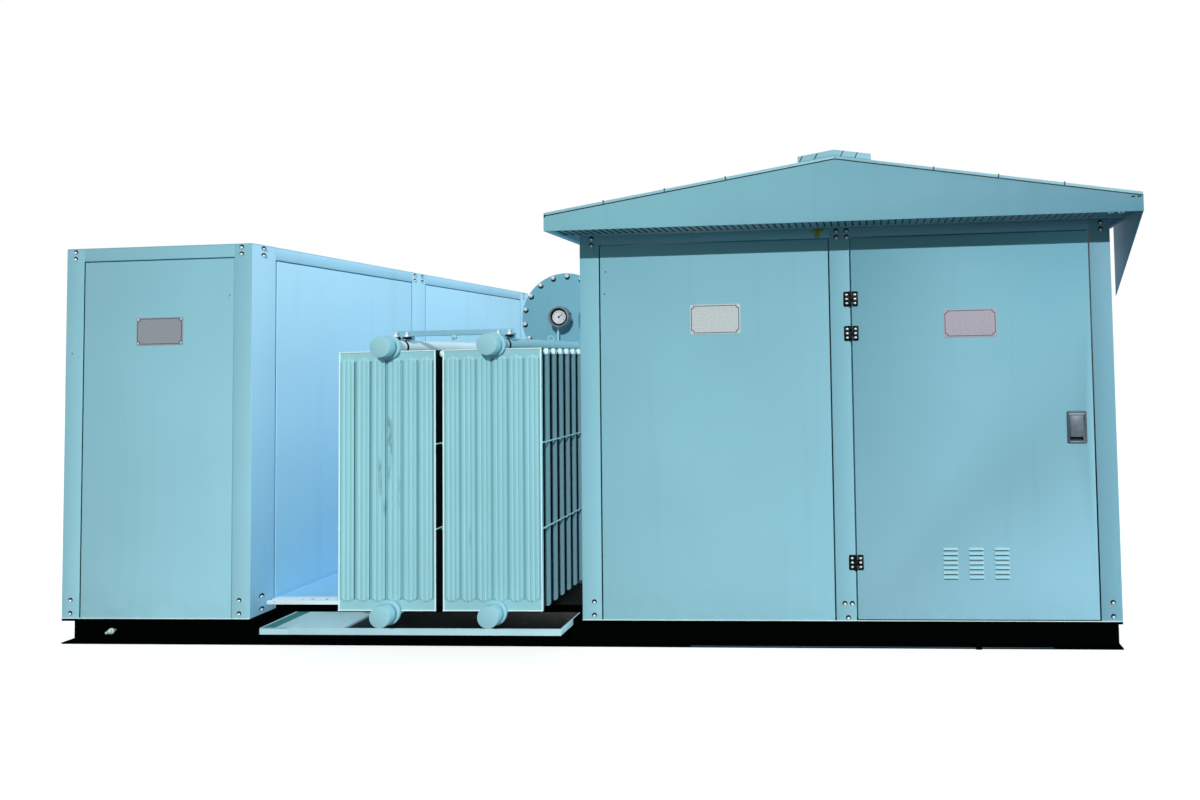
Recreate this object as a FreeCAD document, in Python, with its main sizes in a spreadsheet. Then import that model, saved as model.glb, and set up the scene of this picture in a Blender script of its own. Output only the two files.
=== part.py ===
import FreeCAD
import Part
import Sketcher
import os
import re

# Compact outdoor substation on a steel channel base: a flat-topped low-voltage
# cabinet, an open transformer bay with panel radiators and an oil conservator,
# and a gabled high-voltage cabinet with one hinged door.
# Millimetres. +X to the right, -Y towards the viewer, +Z up. The origin is on the
# ground under the middle of the outline.

SIZES = {
    "lv_width": 1110,
    "bay_length": 1866,
    "walls_depth": 2540,
    "hv_width": 2790,
    "base_height": 140,
    "floor_sheet": 6,
    "channel_flange": 60,
    "channel_skin": 8,
    "lv_wall_height": 2065,
    "hv_wall_height": 2040,
    "post_width": 105,
    "side_post": 125,
    "lv_post_shift": 107,
    "middle_post_depth": 60,
    "panel_skin": 40,
    "lip_reach": 25,
    "lip_skin": 6,
    "groove": 7,
    "lv_rail": 70,
    "hv_rail": 50,
    "roof_plate": 4,
    "soffit_board": 12,
    "side_overhang": 75,
    "front_overhang": 210,
    "fascia_skin": 4,
    "fascia_lip": 15,
    "fascia_eave": 75,
    "fascia_apex": 307,
    "cheek_reach": 330,
    "cheek_drop": 368,
    "roof_sheet": 18,
    "ridge_width": 360,
    "ridge_skin": 30,
    "door_width": 1220,
    "door_skin": 35,
    "door_sheet": 3,
    "door_fold": 30,
    "door_rib_width": 40,
    "door_rib_depth": 20,
    "door_sill": 8,
    "hinge_offset": 10,
    "hinge_height": 78,
    "hinge_reach": 38,
    "hinge_leaf": 4,
    "knuckle_radius": 7,
    "knuckle_relief": 9,
    "hinge_pin": 3,
    "pin_clearance": 0.3,
    "knuckle_gap": 1,
    "hinge_top_level": 1804,
    "hinge_upper_level": 1624,
    "hinge_low_level": 439,
    "handle_width": 98,
    "handle_height": 165,
    "handle_level": 1120,
    "handle_inset": 36,
    "handle_flange": 6,
    "cup_width": 84,
    "cup_height": 149,
    "cup_depth": 24,
    "cup_skin": 4,
    "paddle_height": 116,
    "paddle_skin": 8,
    "paddle_gap": 5,
    "paddle_axle": 4,
    "seat_gap": 0.3,
    "louvre_width": 74,
    "louvre_height": 16,
    "louvre_reach": 8,
    "louvre_lip": 2,
    "louvre_rise": 24,
    "louvre_step": 130,
    "louvre_level": 430,
    "louvre_rows": 7,
    "louvre_columns": 3,
    "bank_width": 518,
    "bank_gap": 38,
    "bank_clearance": 114,
    "bank_reach": 180,
    "fin_skin": 9,
    "fin_pitch": 65,
    "fin_count": 8,
    "fin_foot_rise": 2,
    "fin_head_drop": 20,
    "fin_rim": 8,
    "flute_count": 6,
    "flute_rise": 7,
    "flute_margin": 55,
    "flute_valley": 5,
    "flute_slope": 6,
    "first_crease": 0.41,
    "second_crease": 0.69,
    "crease_width": 3,
    "crease_depth": 2.5,
    "header_radius": 36,
    "header_reach": 60,
    "header_cap_radius": 54,
    "header_cap_skin": 40,
    "header_low_rise": 56,
    "header_top_rise": 128,
    "header_shift": 19,
    "neck_radius": 36,
    "neck_inset": 280,
    "spacer_skin": 6,
    "spacer_upper_level": 1100,
    "spacer_lower_level": 670,
    "tank_length": 1100,
    "tank_depth": 1900,
    "tank_height": 1256,
    "tank_rib_reach": 40,
    "tank_rib_skin": 12,
    "outer_rib_inset": 220,
    "inner_rib_inset": 510,
    "cover_rim": 22,
    "cover_skin": 14,
    "foot_plate_depth": 2380,
    "foot_plate_skin": 20,
    "bearer_height": 44,
    "bearer_width": 100,
    "bearer_inset": 60,
    "tray_reach": 125,
    "tray_depth": 190,
    "tray_height": 34,
    "tray_skin": 4,
    "tray_clearance": 357,
    "tray_end_gap": 48,
    "tray_bearer_height": 8,
    "tray_bearer_width": 50,
    "conservator_radius": 265,
    "conservator_setback": 26,
    "conservator_skin": 6,
    "conservator_rise": 58,
    "conservator_clearance": 150,
    "end_flange": 14,
    "end_rim": 30,
    "leg_width": 90,
    "leg_skin": 12,
    "leg_inset": 400,
    "gauge_radius": 70,
    "gauge_skin": 40,
    "gauge_neck_radius": 30,
    "gauge_reach": 90,
    "throat_height": 420,
    "throat_depth": 500,
    "throat_level": 900,
    "brace_leg": 28,
    "brace_skin": 5,
    "brace_inset": 85,
    "brace_spare": 4,
    "brace_pad": 22,
    "stud_radius": 14,
    "stud_reach": 40,
    "stud_inset": 248,
    "stud_level": 55,
}

WALLS_LENGTH = "(lv_width + bay_length + hv_width)"
LV_LEFT = "-(" + WALLS_LENGTH + " + side_overhang) / 2"
LV_RIGHT = LV_LEFT + " + lv_width"
HV_RIGHT = "(" + WALLS_LENGTH + " - side_overhang) / 2"
HV_LEFT = HV_RIGHT + " - hv_width"
FRONT = "-walls_depth / 2"
REAR = "walls_depth / 2"
LV_TOP = "base_height + lv_wall_height - roof_plate"
HV_TOP = "base_height + hv_wall_height"
DOOR_LEFT = HV_RIGHT + " - post_width - groove - door_width"
HINGE_X = DOOR_LEFT + " - groove / 2"
HINGE_Y = FRONT + " - hinge_offset"
SIDE_BAY = "((walls_depth - 3 * side_post) / 2 - 2 * groove)"
BANKS_CENTRE = HV_LEFT + " - bank_clearance - bank_width - bank_gap / 2"
ROOF_LEFT = HV_LEFT + " - side_overhang"
ROOF_WIDTH = "(hv_width + 2 * side_overhang)"
FASCIA_FOOT = HV_TOP + " - fascia_lip"
FASCIA_FRONT = FRONT + " - front_overhang"
FOOT_PLATE = "base_height + bearer_height"
TANK_FOOT = FOOT_PLATE + " + foot_plate_skin"
COVER_TOP = TANK_FOOT + " + tank_height + cover_skin"
HEADER_LOW = TANK_FOOT + " + header_low_rise"
HEADER_TOP = COVER_TOP + " + header_top_rise"
CONSERVATOR_LEVEL = COVER_TOP + " + conservator_rise + conservator_radius"
CONSERVATOR_FRONT = "(neck_inset + neck_radius + conservator_setback + end_flange - tank_depth / 2)"

UPRIGHT = FreeCAD.Rotation()
ALONG_X = FreeCAD.Rotation(FreeCAD.Vector(1, 1, 1), 120)
ALONG_MINUS_Y = FreeCAD.Rotation(FreeCAD.Vector(1, 0, 0), 90)

doc = FreeCAD.newDocument("CompactSubstation")
sheet = doc.addObject("Spreadsheet::Sheet", "Sizes")
nodes = []


def fill_sheet():
    for row, (alias, value) in enumerate(SIZES.items(), start=1):
        sheet.set("A%d" % row, alias)
        sheet.set("B%d" % row, str(value))
        sheet.setAlias("B%d" % row, alias)
    doc.recompute()


def sized(expression):
    """Names from the sheet become references to its cells."""
    def reference(word):
        return "Sizes." + word.group() if word.group() in SIZES else word.group()
    return re.sub(r"[a-z][a-z_]+", reference, expression)


def bind(item, name, expression):
    item.setExpression(name, sized(expression))


def number(expression):
    value = sheet.evalExpression(sized(expression))
    return float(getattr(value, "Value", value))


def place(item, x, y, z):
    bind(item, "Placement.Base.x", x)
    bind(item, "Placement.Base.y", y)
    bind(item, "Placement.Base.z", z)
    return item


def box(x, y, z, length, width, height):
    item = doc.addObject("Part::Box", "Box")
    bind(item, "Length", length)
    bind(item, "Width", width)
    bind(item, "Height", height)
    return place(item, x, y, z)


def cylinder(x, y, z, radius, height, turn=UPRIGHT):
    item = doc.addObject("Part::Cylinder", "Cylinder")
    item.Placement = FreeCAD.Placement(FreeCAD.Vector(), turn)
    bind(item, "Radius", radius)
    bind(item, "Height", height)
    return place(item, x, y, z)


def outline(sketch, points):
    """A closed outline whose corners are held by distances from the sketch's origin."""
    corners = [FreeCAD.Vector(number(u), number(v), 0) for u, v in points]
    count = len(corners)
    for index in range(count):
        sketch.addGeometry(Part.LineSegment(corners[index], corners[(index + 1) % count]))
    for index in range(count):
        sketch.addConstraint(Sketcher.Constraint("Coincident", index, 2, (index + 1) % count, 1))
    for index, (u, v) in enumerate(points):
        hold(sketch, index, "DistanceX", -2, u, corners[index].x)
        hold(sketch, index, "DistanceY", -1, v, corners[index].y)


def hold(sketch, index, kind, axis, expression, value):
    if expression == "0":
        sketch.addConstraint(Sketcher.Constraint("PointOnObject", index, 1, axis))
        return
    held = sketch.addConstraint(Sketcher.Constraint(kind, -1, 1, index, 1, value))
    bind(sketch, "Constraints[%d]" % held, expression)


def prism(points, length, x, y, z, turn=UPRIGHT):
    """A sketched outline padded to a length, as a body of its own."""
    body = doc.addObject("PartDesign::Body", "Body")
    plane = [item for item in body.Origin.OriginFeatures if item.Role == "XY_Plane"][0]
    sketch = body.newObject("Sketcher::SketchObject", "Outline")
    sketch.AttachmentSupport = [(plane, "")]
    sketch.MapMode = "FlatFace"
    outline(sketch, points)
    pad = body.newObject("PartDesign::Pad", "Pad")
    pad.Profile = sketch
    bind(pad, "Length", length)
    body.Placement = FreeCAD.Placement(FreeCAD.Vector(), turn)
    return place(body, x, y, z)


def together(items):
    item = doc.addObject("Part::Compound", "Group")
    item.Links = items
    return item


def fused(items):
    item = doc.addObject("Part::MultiFuse", "Joined")
    item.Shapes = items
    return item


def cut(base, tool):
    item = doc.addObject("Part::Cut", "Cut")
    item.Base = base
    item.Tool = tool
    return item


def mirrored(source, normal, x="0"):
    item = doc.addObject("Part::Mirroring", "Mirror")
    item.Source = source
    item.Normal = normal
    bind(item, "Base.x", x)
    return item


def behind(source):
    return mirrored(source, FreeCAD.Vector(0, 1, 0))


def across(source, x):
    return mirrored(source, FreeCAD.Vector(1, 0, 0), x)


def node(label, item):
    item.Label = label
    nodes.append(item)
    return item


CHANNEL = [
    ("0", "0"),
    ("channel_flange", "0"),
    ("channel_flange", "base_height - floor_sheet"),
    ("0", "base_height - floor_sheet"),
    ("0", "base_height - floor_sheet - channel_skin"),
    ("channel_flange - channel_skin", "base_height - floor_sheet - channel_skin"),
    ("channel_flange - channel_skin", "channel_skin"),
    ("0", "channel_skin"),
]


def base():
    front = prism(CHANNEL, WALLS_LENGTH, LV_LEFT, FRONT, "0", ALONG_X)
    node("base_front_beam", front)
    node("base_rear_beam", behind(front))
    inside = "walls_depth - 2 * channel_flange"
    rear_web = REAR + " - channel_flange"
    left = prism(CHANNEL, inside, LV_LEFT, rear_web, "0", ALONG_MINUS_Y)
    middle = "-side_overhang / 2"
    node("base_end_beams", together([left, across(left, middle)]))
    places = [
        LV_RIGHT + " - channel_flange",
        BANKS_CENTRE + " - tank_length / 3",
        BANKS_CENTRE + " + tank_length / 3",
        HV_LEFT,
        DOOR_LEFT + " - groove - post_width",
    ]
    beams = [prism(CHANNEL, inside, x, rear_web, "0", ALONG_MINUS_Y) for x in places]
    node("base_cross_beams", together(beams))
    level = "base_height - floor_sheet"
    node("lv_floor", box(LV_LEFT, FRONT, level, "lv_width", "walls_depth", "floor_sheet"))
    node("bay_floor", box(LV_RIGHT, FRONT, level, "bay_length", "walls_depth", "floor_sheet"))
    node("hv_floor", box(HV_LEFT, FRONT, level, "hv_width", "walls_depth", "floor_sheet"))
    stud = cylinder(LV_LEFT + " + stud_inset", FRONT + " + channel_flange - channel_skin",
                    "stud_level", "stud_radius", "stud_reach", ALONG_MINUS_Y)
    node("earthing_stud", stud)


CORNER_POST = [
    ("0", "0"),
    ("post_width", "0"),
    ("post_width", "panel_skin"),
    ("post_width + lip_reach", "panel_skin"),
    ("post_width + lip_reach", "panel_skin + lip_skin"),
    ("post_width", "panel_skin + lip_skin"),
    ("post_width", "side_post"),
    ("panel_skin + lip_skin", "side_post"),
    ("panel_skin + lip_skin", "side_post + lip_reach"),
    ("panel_skin", "side_post + lip_reach"),
    ("panel_skin", "side_post"),
    ("0", "side_post"),
]


def middle_post_outline(width):
    outer = "lip_reach + " + width
    return [
        ("lip_reach", "0"),
        (outer, "0"),
        (outer, "panel_skin"),
        (outer + " + lip_reach", "panel_skin"),
        (outer + " + lip_reach", "panel_skin + lip_skin"),
        (outer, "panel_skin + lip_skin"),
        (outer, "middle_post_depth"),
        ("lip_reach", "middle_post_depth"),
        ("lip_reach", "panel_skin + lip_skin"),
        ("0", "panel_skin + lip_skin"),
        ("0", "panel_skin"),
        ("lip_reach", "panel_skin"),
    ]


def rail_outline(height):
    return [
        ("0", "lip_reach"),
        ("panel_skin", "lip_reach"),
        ("panel_skin", "0"),
        ("panel_skin + lip_skin", "0"),
        ("panel_skin + lip_skin", "lip_reach + " + height),
        ("0", "lip_reach + " + height),
    ]


def corner_posts(left, middle, height):
    post = prism(CORNER_POST, height, left, FRONT, "base_height")
    front_pair = together([post, across(post, middle)])
    return together([front_pair, behind(front_pair)])


def side_posts(left, middle, height, shift):
    """The posts along the two side walls, forward of half way by the shift."""
    turn = FreeCAD.Rotation(FreeCAD.Vector(0, 0, 1), -90)
    post = prism(middle_post_outline("side_post"), height,
                 left, "lip_reach + side_post / 2 - " + shift, "base_height", turn)
    return together([post, across(post, middle)])


def top_rails(left, middle, width, top, height, posts):
    """Rails between the posts, notched round the posts' lips."""
    foot = top + " - lip_reach - " + height
    front = prism(rail_outline(height), width + " - 2 * post_width",
                  left + " + post_width", FRONT, foot, ALONG_X)
    side = prism(rail_outline(height), "walls_depth - 2 * side_post",
                 left, REAR + " - side_post", foot, ALONG_MINUS_Y)
    ring = together([front, behind(front), side, across(side, middle)])
    return cut(ring, posts)


def side_panels(left, middle, top, rail, shift):
    height = top + " - base_height - groove - " + rail
    front = box(left, FRONT + " + side_post + groove", "base_height",
                "panel_skin", SIDE_BAY + " - " + shift, height)
    rear = box(left, "side_post / 2 + groove - " + shift, "base_height",
               "panel_skin", SIDE_BAY + " + " + shift, height)
    pair = together([front, rear])
    return together([pair, across(pair, middle)])


def lv_cabinet():
    middle = LV_LEFT + " + lv_width / 2"
    height = "lv_wall_height - roof_plate"
    corners = corner_posts(LV_LEFT, middle, height)
    sides = side_posts(LV_LEFT, middle, height, "lv_post_shift")
    node("lv_corner_posts", corners)
    node("lv_side_posts", sides)
    rails = top_rails(LV_LEFT, middle, "lv_width", LV_TOP, "lv_rail", together([corners, sides]))
    node("lv_top_rails", rails)
    front = box(LV_LEFT + " + post_width + groove", FRONT, "base_height",
                "lv_width - 2 * post_width - 2 * groove", "panel_skin",
                LV_TOP + " - base_height - groove - lv_rail")
    node("lv_front_panel", front)
    node("lv_rear_panel", behind(front))
    node("lv_side_panels", side_panels(LV_LEFT, middle, LV_TOP, "lv_rail", "lv_post_shift"))
    node("lv_roof", box(LV_LEFT, FRONT, LV_TOP, "lv_width", "walls_depth", "roof_plate"))


def hv_cabinet():
    middle = HV_LEFT + " + hv_width / 2"
    height = "hv_wall_height"
    corners = corner_posts(HV_LEFT, middle, height)
    sides = side_posts(HV_LEFT, middle, height, "0")
    door_post = prism(middle_post_outline("post_width"), height,
                      DOOR_LEFT + " - groove - post_width - lip_reach", FRONT, "base_height")
    doors = together([door_post, behind(door_post)])
    node("hv_corner_posts", corners)
    node("hv_side_posts", sides)
    node("hv_door_posts", doors)
    rails = top_rails(HV_LEFT, middle, "hv_width", HV_TOP, "hv_rail",
                      together([corners, sides, doors]))
    node("hv_top_rails", rails)
    panel_height = HV_TOP + " - base_height - groove - hv_rail"
    left_panel = box(HV_LEFT + " + post_width + groove", FRONT, "base_height",
                     "hv_width - 3 * post_width - 4 * groove - door_width", "panel_skin", panel_height)
    node("hv_front_panel", left_panel)
    rear_wide = box(DOOR_LEFT, REAR + " - panel_skin", "base_height",
                    "door_width", "panel_skin", panel_height)
    node("hv_rear_panels", together([behind(left_panel), rear_wide]))
    node("hv_side_panels", side_panels(HV_LEFT, middle, HV_TOP, "hv_rail", "0"))


def roof():
    board = box(ROOF_LEFT + " + fascia_skin", FASCIA_FRONT + " + fascia_skin", HV_TOP,
                ROOF_WIDTH + " - 2 * fascia_skin",
                "walls_depth + 2 * front_overhang - 2 * fascia_skin", "soffit_board")
    node("hv_ceiling", board)
    gable = [
        ("0", "0"),
        (ROOF_WIDTH, "0"),
        (ROOF_WIDTH, "fascia_eave"),
        (ROOF_WIDTH + " / 2", "fascia_apex"),
        ("0", "fascia_eave"),
    ]
    front = prism(gable, "fascia_skin", ROOF_LEFT, FASCIA_FRONT + " + fascia_skin",
                  FASCIA_FOOT, ALONG_MINUS_Y)
    node("gable_front", front)
    node("gable_rear", behind(front))
    middle = HV_LEFT + " + hv_width / 2"
    eave_depth = "(walls_depth + 2 * front_overhang - 2 * fascia_skin)"
    left_board = box(ROOF_LEFT, FASCIA_FRONT + " + fascia_skin", FASCIA_FOOT,
                     "fascia_skin", eave_depth, "fascia_eave")
    cheeked = [
        ("0", "cheek_drop"),
        ("cheek_reach", "0"),
        ("cheek_reach", "cheek_drop"),
        (eave_depth + " - cheek_reach", "cheek_drop"),
        (eave_depth + " - cheek_reach", "0"),
        (eave_depth, "cheek_drop"),
        (eave_depth, "cheek_drop + fascia_eave"),
        ("0", "cheek_drop + fascia_eave"),
    ]
    right_board = prism(cheeked, "fascia_skin", ROOF_LEFT + " + " + ROOF_WIDTH + " - fascia_skin",
                        FASCIA_FRONT + " + fascia_skin", FASCIA_FOOT + " - cheek_drop", ALONG_X)
    node("eave_boards", together([left_board, right_board]))
    slope = [
        ("0", "0"),
        (ROOF_WIDTH + " / 2", "fascia_apex - fascia_eave"),
        (ROOF_WIDTH + " / 2", "fascia_apex - fascia_eave + roof_sheet"),
        ("0", "roof_sheet"),
    ]
    back = REAR + " + front_overhang"
    depth = "walls_depth + 2 * front_overhang"
    left = prism(slope, depth, ROOF_LEFT, back, FASCIA_FOOT + " + fascia_eave", ALONG_MINUS_Y)
    node("roof_left", left)
    node("roof_right", across(left, middle))
    rise = "(fascia_apex - fascia_eave) * ridge_width / " + ROOF_WIDTH
    cap = [
        ("0", "0"),
        ("ridge_width / 2", rise),
        ("ridge_width", "0"),
        ("ridge_width", "ridge_skin"),
        ("ridge_width / 2", rise + " + ridge_skin"),
        ("0", "ridge_skin"),
    ]
    node("ridge_cap", prism(cap, depth, middle + " - ridge_width / 2", back,
                            FASCIA_FOOT + " + fascia_apex + roof_sheet - " + rise, ALONG_MINUS_Y))


def hinge_knuckles(radius, z, height):
    return cylinder(HINGE_X, HINGE_Y, z, radius, height)


def hinge(level):
    """One hinge: the leaf on the post, and the leaf on the door with its pin."""
    foot = level + " - hinge_height / 2"
    third = "hinge_height / 3"
    leaf_y = FRONT + " - hinge_leaf"
    plate = "hinge_reach - knuckle_relief"
    middle_foot = foot + " + " + third + " + knuckle_gap"
    middle_height = third + " - 2 * knuckle_gap"
    fixed = [box(HINGE_X + " - hinge_reach", leaf_y, foot, plate, "hinge_leaf", "hinge_height")]
    for z in (foot, foot + " + 2 * " + third):
        fixed.append(box(HINGE_X + " - knuckle_relief", leaf_y, z, "knuckle_relief", "hinge_leaf", third))
        fixed.append(hinge_knuckles("knuckle_radius", z, third))
    bore = hinge_knuckles("hinge_pin + pin_clearance", foot, "hinge_height")
    moving = [
        box(HINGE_X + " + knuckle_relief", leaf_y, foot, plate, "hinge_leaf", "hinge_height"),
        box(HINGE_X, leaf_y, middle_foot, "knuckle_relief", "hinge_leaf", middle_height),
        hinge_knuckles("knuckle_radius", middle_foot, middle_height),
        hinge_knuckles("hinge_pin", foot, "hinge_height"),
    ]
    return cut(fused(fixed), bore), fused(moving)


def door():
    handle_x = HV_RIGHT + " - post_width - groove - handle_inset - handle_width / 2"
    foot = "base_height + door_sill"
    height = "hv_wall_height - door_sill - groove - hv_rail"
    slab = box(DOOR_LEFT, FRONT, foot, "door_width", "door_skin", height)
    pocket = box(DOOR_LEFT + " + door_fold", FRONT + " + door_sheet", foot + " + door_fold",
                 "door_width - 2 * door_fold", "door_skin - door_sheet", height + " - 2 * door_fold")
    ribs = [box(DOOR_LEFT + " + door_width * %d / 3 - door_rib_width / 2" % third, FRONT + " + door_sheet",
                foot + " + door_fold", "door_rib_width", "door_rib_depth", height + " - 2 * door_fold")
            for third in (1, 2)]
    recess = box(handle_x + " - cup_width / 2", FRONT, "handle_level - cup_height / 2",
                 "cup_width", "cup_depth", "cup_height")
    node("hv_door", cut(fused([cut(slab, pocket)] + ribs), recess))
    hinges = [hinge(level) for level in ("hinge_top_level", "hinge_upper_level", "hinge_low_level")]
    node("post_hinge_leaves", together([pair[0] for pair in hinges]))
    node("door_hinge_leaves", together([pair[1] for pair in hinges]))
    flange = box(handle_x + " - handle_width / 2", FRONT + " - handle_flange",
                 "handle_level - handle_height / 2", "handle_width", "handle_flange", "handle_height")
    cup = box(handle_x + " - cup_width / 2", FRONT, "handle_level - cup_height / 2",
              "cup_width", "cup_depth", "cup_height")
    hollow = box(handle_x + " - cup_width / 2 + cup_skin", FRONT + " - handle_flange",
                 "handle_level - cup_height / 2 + cup_skin", "cup_width - 2 * cup_skin",
                 "handle_flange + cup_depth - cup_skin", "cup_height - 2 * cup_skin")
    node("handle_cup", cut(fused([flange, cup]), hollow))
    paddle_top = "handle_level + cup_height / 2 - cup_skin - paddle_gap"
    paddle = box(handle_x + " - cup_width / 2 + cup_skin + paddle_gap", FRONT + " - paddle_skin / 2",
                 paddle_top + " - paddle_height", "cup_width - 2 * cup_skin - 2 * paddle_gap",
                 "paddle_skin", "paddle_height")
    axle = cylinder(handle_x + " - cup_width / 2 + cup_skin + seat_gap", FRONT,
                    paddle_top + " - paddle_axle", "paddle_axle",
                    "cup_width - 2 * cup_skin - 2 * seat_gap", ALONG_X)
    node("handle_paddle", fused([paddle, axle]))


def louvres():
    """Pressed hoods in rows and columns on the lower half of the door."""
    hood = [
        ("0", "0"),
        ("louvre_reach", "0"),
        ("louvre_reach", "louvre_height"),
        ("0", "louvre_lip"),
    ]
    hoods = []
    for column in range(int(number("louvre_columns"))):
        for row in range(int(number("louvre_rows"))):
            x = "%s + door_width / 2 + (%d - (louvre_columns - 1) / 2) * louvre_step" % (DOOR_LEFT, column)
            z = "louvre_level + (%d - (louvre_rows - 1) / 2) * louvre_rise" % row
            hoods.append(prism(hood, "louvre_width", x + " - louvre_width / 2",
                               FRONT + " - louvre_reach", z, ALONG_X))
    node("door_louvres", together(hoods))


def fluted_outline():
    """The front fin from above: flat rims, raised flutes, and two creases in each flute."""
    pitch = "(bank_width - 2 * fin_rim) / flute_count"
    points = [("0", "flute_rise")]
    for flute in range(int(number("flute_count"))):
        left = "fin_rim + %d * %s" % (flute, pitch)
        right = "fin_rim + %d * %s" % (flute + 1, pitch)
        points.append((left + " + flute_valley", "flute_rise"))
        points.append((left + " + flute_valley + flute_slope", "0"))
        for share in ("first_crease", "second_crease"):
            crease = "%s + %s * %s" % (left, share, pitch)
            points.append((crease + " - crease_width", "0"))
            points.append((crease, "crease_depth"))
            points.append((crease + " + crease_width", "0"))
        points.append((right + " - flute_valley - flute_slope", "0"))
        points.append((right + " - flute_valley", "flute_rise"))
    points.append(("bank_width", "flute_rise"))
    points.append(("bank_width", "flute_rise + fin_skin"))
    points.append(("0", "flute_rise + fin_skin"))
    return points


def pipe_notches(x):
    """Eight-sided clearances that just take the two header pipes."""
    near = "header_radius * 0.586"
    far = "header_radius * 1.414"
    across_flats = "2 * header_radius"
    around = [
        (near, "0"),
        (far, "0"),
        (across_flats, near),
        (across_flats, far),
        (far, across_flats),
        (near, across_flats),
        ("0", far),
        ("0", near),
    ]
    back = FRONT + " + fin_count * fin_pitch"
    length = back + " - (" + FRONT + ") + bank_reach"
    return together([prism(around, length, x + " - header_radius", back, level + " - header_radius",
                           ALONG_MINUS_Y) for level in (HEADER_LOW, HEADER_TOP)])


def bank(x, notches):
    """One bank: the fluted front fin and the plain ones behind it, notched for the header pipes."""
    first = FRONT + " - bank_reach"
    foot = HEADER_LOW + " + fin_foot_rise"
    height = HEADER_TOP + " - (" + HEADER_LOW + ") - fin_foot_rise - fin_head_drop"
    sheet_fin = box(x, first + " + flute_rise", foot, "bank_width", "fin_skin", height)
    flutes = prism(fluted_outline(), height + " - 2 * flute_margin", x, first, foot + " + flute_margin")
    fins = [fused([sheet_fin, flutes])]
    for row in range(1, int(number("fin_count"))):
        fins.append(box(x, first + " + flute_rise + %d * fin_pitch" % row, foot,
                        "bank_width", "fin_skin", height))
    return cut(together(fins), notches)


def header_pipes(x):
    """The two pipes of one bank. The top one ends in a neck on the tank cover."""
    front = FRONT + " - bank_reach - header_reach"
    wall = "-tank_depth / 2"
    neck = wall + " + neck_inset"
    pieces = []
    for level, end in ((HEADER_LOW, wall), (HEADER_TOP, neck)):
        pieces.append(cylinder(x, end, level, "header_radius", end + " - (" + front + ")", ALONG_MINUS_Y))
        pieces.append(cylinder(x, front + " + header_cap_skin", level,
                               "header_cap_radius", "header_cap_skin", ALONG_MINUS_Y))
    low = fused(pieces[:2])
    riser = cylinder(x, neck, COVER_TOP, "neck_radius", "header_top_rise + neck_radius")
    return together([low, fused(pieces[2:] + [riser])])


def radiators():
    """Four banks: left and right in front, and the same behind."""
    right_x = HV_LEFT + " - bank_clearance - bank_width"
    left_x = right_x + " - bank_gap - bank_width"
    first = FRONT + " - bank_reach + flute_rise"
    length = "fin_skin + (fin_count - 1) * fin_pitch"
    pipes = []
    rods = []
    for side, x in (("left", left_x), ("right", right_x)):
        centre = x + " + bank_width / 2 + header_shift"
        pair = header_pipes(centre)
        front_bank = bank(x, pipe_notches(centre))
        node("radiator_front_" + side, front_bank)
        node("radiator_rear_" + side, behind(front_bank))
        pipes += [pair, behind(pair)]
        for level in ("spacer_upper_level", "spacer_lower_level"):
            for rod_x in (x + " - spacer_skin", x + " + bank_width"):
                rod = box(rod_x, first, level, "spacer_skin", length, "spacer_skin")
                rods += [rod, behind(rod)]
    node("radiator_headers", together(pipes))
    node("radiator_spacers", together(rods))
    angle = [
        ("0", "0"),
        ("brace_leg", "0"),
        ("brace_leg", "brace_skin"),
        ("brace_skin", "brace_skin"),
        ("brace_skin", "brace_leg"),
        ("0", "brace_leg"),
    ]
    brace_foot = HEADER_TOP + " + header_radius"
    brace_front = first + " + brace_inset"
    brace_left = left_x + " + bank_width / 2 + header_shift - header_radius - brace_spare"
    brace = prism(angle, "bank_width + bank_gap + 2 * (header_radius + brace_spare)",
                  brace_left, brace_front, brace_foot + " + brace_pad", ALONG_X)
    pads = [box(brace_left + " + brace_spare" + step, brace_front, brace_foot,
                "2 * header_radius", "brace_leg", "brace_pad")
            for step in ("", " + bank_width + bank_gap")]
    carried = fused([brace] + pads)
    node("radiator_braces", together([carried, behind(carried)]))


def bearers():
    """Flat bars under the tank's foot plate, and thinner ones under the drip trays."""
    places = [
        LV_RIGHT + " + bearer_inset",
        BANKS_CENTRE + " - tank_length / 3 - bearer_width / 2",
        BANKS_CENTRE + " + tank_length / 3 - bearer_width / 2",
    ]
    bars = [box(x, "-foot_plate_depth / 2", "base_height", "bearer_width", "foot_plate_depth", "bearer_height")
            for x in places]
    tray_bar = "walls_depth / 2 - foot_plate_depth / 2 - groove"
    for x in (LV_RIGHT + " + tray_clearance", HV_LEFT + " - tray_end_gap - tray_bearer_width"):
        bar = box(x, FRONT, "base_height", "tray_bearer_width", tray_bar, "tray_bearer_height")
        bars += [bar, behind(bar)]
    node("bay_bearers", together(bars))


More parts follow.
